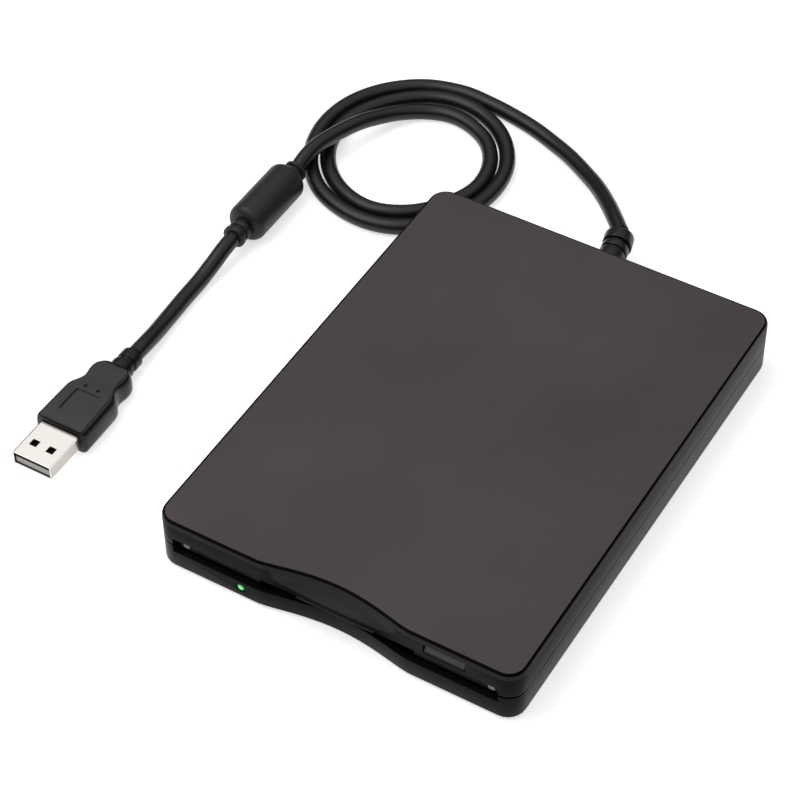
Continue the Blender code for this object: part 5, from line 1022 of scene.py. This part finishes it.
def cut_mesh(name, mesh, *cutters):
    """The mesh with these closed cutters taken out of it, worked out in millimetres."""
    for part in (mesh, *cutters):
        part.transform(Matrix.Scale(1 / MM, 4))
    target = add_object(name, mesh)
    helpers = []
    for number, cutter in enumerate(cutters):
        helper = add_object(f"{name}_cutter_{number}", cutter)
        modifier = target.modifiers.new(helper.name, "BOOLEAN")
        modifier.operation = "DIFFERENCE"
        modifier.solver = "MANIFOLD"
        modifier.object = helper
        helpers.append(helper)
    bpy.context.view_layer.update()
    result = bpy.data.meshes.new_from_object(
        target.evaluated_get(bpy.context.evaluated_depsgraph_get())
    )
    for helper in (target, *helpers):
        bpy.data.objects.remove(helper)
    result.transform(Matrix.Scale(MM, 4))
    shape = bmesh.new()
    shape.from_mesh(result)
    return mesh_from(name, shape, GRIP_GENTLE)


FLAT_ENOUGH = 0.96
DIMPLE_SPOTS = ((-0.0020, 0.0145), (0.0020, 0.0145))
for finish in (grip_rubber, panel_rubber):
    block_mesh.materials.append(finish)
# Only the level faces take the paler panel finish, so the floors of the cuts stay dark as painted
# shade.
for face in block_mesh.polygons:
    level = abs(face.normal.z) > FLAT_ENOUGH
    if level and abs(face.center.z - grip_middle) > grip_half * 0.75:
        face.material_index = 1
dimples = [dimple_cutter(x, y) for x, y in DIMPLE_SPOTS]
grooved = cut_mesh("grip_block", block_mesh, groove_cutter(), *dimples)
print("grip:", len(grooved.polygons), "faces")

# %% [markdown]
# Behind the block the grip ends in two round collars, turned like the other round pieces. Block and
# collars are one moulding, so they are joined. Giving the joined mesh its materials resets which
# face has which, so the faces' own numbers are noted before and set again after.
# %% The grip's neck
NECK_RADIUS = 0.0030
neck_start = grip_face + GRIP_LENGTH
neck_waist = NECK_RADIUS * 0.86
neck_profile = [(NECK_RADIUS * 0.9, neck_start - 0.0010)]
neck_profile += barrel(NECK_RADIUS * 1.10, neck_start + 0.0001, neck_start + 0.0028, 0.0003)
neck_profile += [(neck_waist, neck_start + 0.0030), (neck_waist, neck_start + 0.0038)]
neck_profile += barrel(NECK_RADIUS * 1.04, neck_start + 0.0040, grip_high.y, 0.0004)
neck_mesh = turned_mesh("plug_neck", (grip_x, grip_middle), neck_profile, SLEEVE_GENTLE)
grip_mesh = joined("plug_block", grooved, neck_mesh)
finish_of_face = [face.material_index for face in grip_mesh.polygons]
grip_piece = keep_piece("plug_block", grip_mesh, grip_rubber, "case", "grip_black", "plug_grip")
grip_mesh.materials.append(panel_rubber)
for face, index in zip(grip_mesh.polygons, finish_of_face):
    face.material_index = index
print("faces of the panel:", sum(finish_of_face), "of", len(finish_of_face))

# %% [markdown]
# Inside, much repeats by a rule: the turns of a spring, the wire round each tooth of the motor, the
# legs of a chip. Geometry Nodes suit that, because each of them is a few numbers: how many, how far
# apart, how thick. A tree is built with a named input for each of those numbers, run once, and its
# result is kept as a plain mesh, so nothing is left to run later.
# %% Trees with named sizes


def new_tree(name, sizes):
    """A Geometry Nodes tree with these named inputs, and a socket for each of them."""
    tree = bpy.data.node_groups.new(name, "GeometryNodeTree")
    tree.interface.new_socket("Geometry", in_out="OUTPUT", socket_type="NodeSocketGeometry")
    for key, size in sizes.items():
        kind = "NodeSocketInt" if isinstance(size, int) else "NodeSocketFloat"
        tree.interface.new_socket(key, in_out="INPUT", socket_type=kind)
    entry = tree.nodes.new("NodeGroupInput")
    return tree, {key: Value(tree, entry.outputs[key]) for key in sizes}


def along_axes(tree, x=0.0, y=0.0, z=0.0):
    """A vector from three numbers or sockets."""
    return add_node(tree, "ShaderNodeCombineXYZ", {}, {0: x, 1: y, 2: z})


def moved(geometry, shift=(0, 0, 0), turn=(0, 0, 0)):
    """Geometry turned about its own origin and then shifted."""
    values = {0: geometry, "Translation": shift, "Rotation": turn}
    return geometry.node("GeometryNodeTransform", {}, values)


def swept(path, section):
    """A closed section pushed along a path, with its ends filled."""
    return path.node("GeometryNodeCurveToMesh", {}, {0: path, 1: section, "Fill Caps": True})


def copies(points, thing, turn=(0, 0, 0)):
    """A copy of the thing at each point."""
    values = {0: points, "Instance": thing, "Rotation": turn}
    return points.node("GeometryNodeInstanceOnPoints", {}, values)


def row(tree, count, start, step):
    """Points in a straight row."""
    values = {"Count": count, "Start Location": start, "Offset": step}
    return add_node(tree, "GeometryNodeMeshLine", {"mode": "OFFSET"}, values)


def grown_mesh(name, tree, geometry, sizes, material):
    """Ends the tree with one real mesh in its material, runs it and returns the plain mesh."""
    real = geometry.node("GeometryNodeRealizeInstances", {}, {0: geometry})
    painted = real.node("GeometryNodeSetMaterial", {}, {0: real, "Material": material})
    exit_node = tree.nodes.new("NodeGroupOutput")
    lead(painted, exit_node.inputs[0])
    holder = add_object(name + "_holder", bpy.data.meshes.new(name + "_holder"))
    modifier = holder.modifiers.new(name, "NODES")
    modifier.node_group = tree
    for item in tree.interface.items_tree:
        if item.in_out == "INPUT":
            modifier[item.identifier] = sizes[item.name]
    bpy.context.view_layer.update()
    graph = bpy.context.evaluated_depsgraph_get()
    mesh = bpy.data.meshes.new_from_object(holder.evaluated_get(graph))
    mesh.name = name
    bpy.data.objects.remove(holder)
    print(name, "faces:", len(mesh.polygons))
    return mesh


# %% [markdown]
# A spring is a round wire along a helix. The helix node winds round Z, and a turn about X lays it
# along Y. The two springs that pull the eject slide back replace the plain coils of the solids.
# %% Springs
QUARTER_TURN = math.pi / 2


def helix_mesh(name, sizes, start, material):
    """A round wire wound along Y from a start place."""
    tree, size = new_tree(name, sizes)
    shape = {
        "Resolution": size["Points a turn"],
        "Rotations": size["Turns"],
        "Start Radius": size["Radius"],
        "End Radius": size["Radius"],
        "Height": size["Length"],
    }
    helix = add_node(tree, "GeometryNodeCurveSpiral", {}, shape)
    circle = {"Resolution": 10, "Radius": size["Wire"]}
    section = add_node(tree, "GeometryNodeCurvePrimitiveCircle", {}, circle)
    laid = moved(swept(helix, section), start, (-QUARTER_TURN, 0, 0))
    return grown_mesh(name, tree, laid, sizes, material)


SPRING_WIRE = 0.0002
SPRING_TURNS = 12.0
for side in ("left", "right"):
    node = side + "_eject_spring"
    low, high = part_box(node)
    sizes = {
        "Points a turn": 28,
        "Turns": SPRING_TURNS,
        "Radius": (high.x - low.x) / 2 - SPRING_WIRE,
        "Length": high.y - low.y - 2 * SPRING_WIRE,
        "Wire": SPRING_WIRE,
    }
    start = ((low.x + high.x) / 2, low.y + SPRING_WIRE, (low.z + high.z) / 2)
    mesh = helix_mesh(side + "_spring_coil", sizes, start, bright_steel)
    keep_piece(side + "_spring_coil", mesh, bright_steel, BODY_OF[node], "spring_steel", node)

# %% [markdown]
# Each tooth of the stator carries a coil. A turn of wire is a rounded rectangle round the tooth, a
# row of turns makes the coil, and twelve coils stand round the spindle. So the tree is three steps:
# one turn, a row of turns, a ring of rows. The wire stays between the board and the rotor.
# %% Motor coils
stator_low, stator_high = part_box("stator")
stator_middle = (stator_low + stator_high) / 2
board_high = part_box("motor_board")[1]
rotor_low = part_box("spindle_rotor")[0]
COIL_WIRE = 0.00011
coil_sizes = {
    "Teeth": 12,
    "Turns": 22,
    "Pitch": 2.05 * COIL_WIRE,
    "Inner end": 0.0104,
    "Width": 0.0034,
    "Height": stator_high.z - stator_low.z + 2 * COIL_WIRE,
    "Wire": COIL_WIRE,
}
tree, size = new_tree("motor_coils", coil_sizes)
turn_shape = {"Width": size["Width"], "Height": size["Height"]}
one_turn = add_node(tree, "GeometryNodeCurvePrimitiveQuadrilateral", {}, turn_shape)
corners = {0: one_turn, "Radius": size["Wire"] * 2.0, "Count": 2}
one_turn = one_turn.node("GeometryNodeFilletCurve", {"mode": "POLY"}, corners)
wire_shape = {"Resolution": 6, "Radius": size["Wire"]}
wire_section = add_node(tree, "GeometryNodeCurvePrimitiveCircle", {}, wire_shape)
upright_turn = moved(swept(one_turn, wire_section), (0, 0, 0), (QUARTER_TURN, 0, QUARTER_TURN))
first_turn, next_turn = along_axes(tree, size["Inner end"]), along_axes(tree, size["Pitch"])
one_coil = copies(row(tree, size["Turns"], first_turn, next_turn), upright_turn)
index = add_node(tree, "GeometryNodeInputIndex")
tooth_turn = index.math("DIVIDE", size["Teeth"]) * (2 * math.pi)
teeth = row(tree, size["Teeth"], tuple(stator_middle), (0, 0, 0))
all_coils = copies(teeth, one_coil, along_axes(tree, z=tooth_turn))
coil_mesh = grown_mesh("motor_coils", tree, all_coils, coil_sizes, coil_copper)
keep_piece("motor_coils", coil_mesh, coil_copper, BODY_OF["stator"], "winding_copper")
print("coil room, mm:", in_mm(board_high.z, rotor_low.z))

# %% [markdown]
# A chip's leg leaves the package half way up, bends down like a gull's wing and ends flat on the
# board. A Bezier segment with level handles is that bend, and a small rectangle pushed along it is
# the leg. A row of legs is one side of the chip, and four turned copies of the row are all of them.
# %% Chip legs


def chip_legs(name, node, board):
    """Gull wing legs on all four sides of a square chip."""
    low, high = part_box(node)
    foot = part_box(board)[1].z
    middle = (low + high) / 2
    sizes = {
        "Legs a side": 12,
        "Pitch": 0.00065,
        "Reach": 0.0012,
        "Shoulder": (low.z + high.z) / 2 - foot,
        "Half side": (high.x - low.x) / 2 - 0.0001,
        "Width": 0.00026,
        "Thick": 0.00014,
    }
    tree, size = new_tree(name, sizes)
    bend = size["Reach"] * 0.5
    ends = {
        "Resolution": 8,
        "Start": along_axes(tree, z=size["Shoulder"]),
        "Start Handle": along_axes(tree, bend, z=size["Shoulder"]),
        "End Handle": along_axes(tree, bend, z=size["Thick"] * 0.5),
        "End": along_axes(tree, size["Reach"], z=size["Thick"] * 0.5),
    }
    path = add_node(tree, "GeometryNodeCurvePrimitiveBezierSegment", {}, ends)
    shape = {"Width": size["Width"], "Height": size["Thick"]}
    section = add_node(tree, "GeometryNodeCurvePrimitiveQuadrilateral", {}, shape)
    leg = swept(path, section)
    first = (size["Legs a side"] - 1) * size["Pitch"] * -0.5
    first_leg = along_axes(tree, size["Half side"], first)
    next_leg = along_axes(tree, y=size["Pitch"])
    side = copies(row(tree, size["Legs a side"], first_leg, next_leg), leg)
    index = add_node(tree, "GeometryNodeInputIndex")
    four_points = row(tree, 4, (middle.x, middle.y, foot), (0, 0, 0))
    sides = copies(four_points, side, along_axes(tree, z=index * QUARTER_TURN))
    mesh = grown_mesh(name, tree, sides, sizes, solder_tin)
    return keep_piece(name, mesh, solder_tin, BODY_OF[node], "spring_steel")


chip_legs("drive_chip_legs", "drive_controller", "control_board")
chip_legs("usb_chip_legs", "usb_controller", "usb_board")

# %% [markdown]
# At the outer end of each flap a small pale block stands in for a highlight: a painted highlight.
# It is a little plastic block with rounded edges on the flap's face, and it rides on the flap.
# %% Pale pads on the flaps, a painted highlight
PAD_SIZE = Vector((0.0017, 0.0004, 0.0017))
PAD_HEIGHT = 0.00805
PAD_INSET = 0.0033
PAD_ROUND = 0.00012


def rounded_block(name, low, high, curve):
    """A block with rounded edges."""
    shape = bmesh.new()
    bmesh.ops.create_cube(shape, size=1.0)
    for corner in shape.verts:
        share = corner.co + Vector((0.5, 0.5, 0.5))
        corner.co = Vector([low[i] + (high[i] - low[i]) * share[i] for i in range(3)])
    bmesh.ops.bevel(
        shape, geom=list(shape.edges), offset=curve, segments=3, profile=0.5, affect="EDGES"
    )
    bmesh.ops.recalc_face_normals(shape, faces=shape.faces)
    return mesh_from(name, shape, 0.9)


# Pale grey that paints a highlight at each flap's outer end.
pad_highlight = moulded("flap_pad_plastic", (0.50, 0.50, 0.50), 0.4, 0.0005, drift=0.05)
for side, mirror in (("left", -1), ("right", 1)):
    node = side + "_dust_flap"
    low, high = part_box(node)
    outer = low.x if mirror < 0 else high.x
    middle = Vector((outer - mirror * PAD_INSET, low.y, PAD_HEIGHT))
    pad_low = middle - PAD_SIZE / 2
    pad = rounded_block(side + "_flap_pad", pad_low, pad_low + PAD_SIZE, PAD_ROUND)
    keep_piece(side + "_flap_pad", pad, pad_highlight, BODY_OF[node], "carriage_grey")
print("pads, mm:", in_mm(*PAD_SIZE))

# %% [markdown]
# The track zero sensor is a forked block that the carriage's arm passes over at the end of its
# travel. Its visible shape is cut a little lower than its solid, so that the arm clears it.
# %% Sensor that the arm clears
SENSOR_ROOM = 0.0002
sensor_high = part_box("track_sensor")[1]
sensor_mesh = frame["nodes"]["track_sensor"].data.copy()
sensor_mesh.transform(frame["nodes"]["track_sensor"].matrix_world)
sensor_shape = bmesh.new()
sensor_shape.from_mesh(sensor_mesh)
bmesh.ops.remove_doubles(sensor_shape, verts=list(sensor_shape.verts), dist=MERGE)
for corner in sensor_shape.verts:
    if corner.co.z > sensor_high.z - SENSOR_ROOM:
        corner.co.z -= SENSOR_ROOM
sensor_shape.to_mesh(sensor_mesh)
sensor_shape.free()
keep_piece("zero_sensor", sensor_mesh, switch_plastic, "case", "chip_black", "track_sensor")
print("sensor top, mm:", in_mm(sensor_high.z - SENSOR_ROOM))

# %% [markdown]
# The drive lies on a white sheet. The floor is a plain pale surface that shows white to the camera
# and still takes the soft shadow round the case, which is what makes the object sit. It isn't part
# of the object, so it is marked as the stage.
# %% Floor
FLOOR_HALF = 3.0
FLOOR_WHITE = 0.86
FLOOR_LIFT = 0.62
CAMERA_RAY, GLOSSY_RAY, PASSING_RAY = 0, 3, 6
floor_mesh = bpy.data.meshes.new("studio_floor")
signs = [(-1, -1), (1, -1), (1, 1), (-1, 1)]
corners = [(x * FLOOR_HALF, y * FLOOR_HALF, 0) for x, y in signs]
floor_mesh.from_pydata(corners, [], [(0, 1, 2, 3)])
floor = add_object("studio_floor", floor_mesh)
floor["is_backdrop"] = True


def ray_kind(tree, *kinds):
    """1 for a ray of one of these kinds."""
    flags = [add_node(tree, "ShaderNodeLightPath", output=kind) for kind in kinds]
    return sum(flags[1:], flags[0]).math("MINIMUM", 1.0)


paper, tree, inputs = surface("floor_paper", {"Roughness": 0.9, "Specular IOR Level": 0.1})
inputs["Base Color"].default_value = (FLOOR_WHITE, FLOOR_WHITE, FLOOR_WHITE, 1)
shown = ray_kind(tree, CAMERA_RAY, GLOSSY_RAY, PASSING_RAY)
lead(shown.mix((0, 0, 0), (FLOOR_LIFT,) * 3), inputs["Emission Color"])
inputs["Emission Strength"].default_value = 1.0
floor_mesh.materials.append(paper)
print("floor, mm:", in_mm(2 * FLOOR_HALF))

# %% [markdown]
# The light is a white tent that is open below: bright overhead, dark near the horizon, as when
# black cards stand round the table. The flat top then reflects white, while the walls reflect the
# cards. One large soft lamp from the left lets the light fade a little towards the right.
# %% Room and lamp
world = bpy.data.worlds.new("pale_room")
world.use_nodes = True
bpy.context.scene.world = world
room = world.node_tree
background = room.nodes["Background"]
seen = ray_kind(room, CAMERA_RAY)
mirrored = ray_kind(room, GLOSSY_RAY, PASSING_RAY)
rise = add_node(room, "ShaderNodeTexCoord", output=0).axis(2)
ROOM_LEVEL = 0.66
CARD_LEVEL = 0.08
CARD_TOP = 0.46
TENT_START = 0.68
tent_level = mirrored * (1 - ROOM_LEVEL) + ROOM_LEVEL
level = rise.ramp(CARD_TOP, TENT_START) * (tent_level - CARD_LEVEL) + CARD_LEVEL
room_colour = level.node("ShaderNodeCombineColor", {}, {0: level, 1: level, 2: level})
lead(seen.mix(room_colour, (1, 1, 1)), background.inputs["Color"])

LAMP_PLACE = Vector((-0.38, -0.14, 0.72))
LAMP_SIDE = 0.7
LAMP_WATTS = 3.2
lamp_data = bpy.data.lights.new("soft_lamp", "AREA")
lamp_data.shape = "SQUARE"
lamp_data.size = LAMP_SIDE
lamp_data.energy = LAMP_WATTS
soft_lamp = add_object("soft_lamp", lamp_data)
turn = (-LAMP_PLACE).to_track_quat("-Z", "Y").to_matrix().to_4x4()
soft_lamp.matrix_world = Matrix.Translation(LAMP_PLACE) @ turn
bpy.context.scene.view_settings.view_transform = "Standard"
print("lamp, W:", LAMP_WATTS)

shown_low, shown_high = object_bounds()
print("shown, mm:", in_mm(*(shown_high - shown_low)))
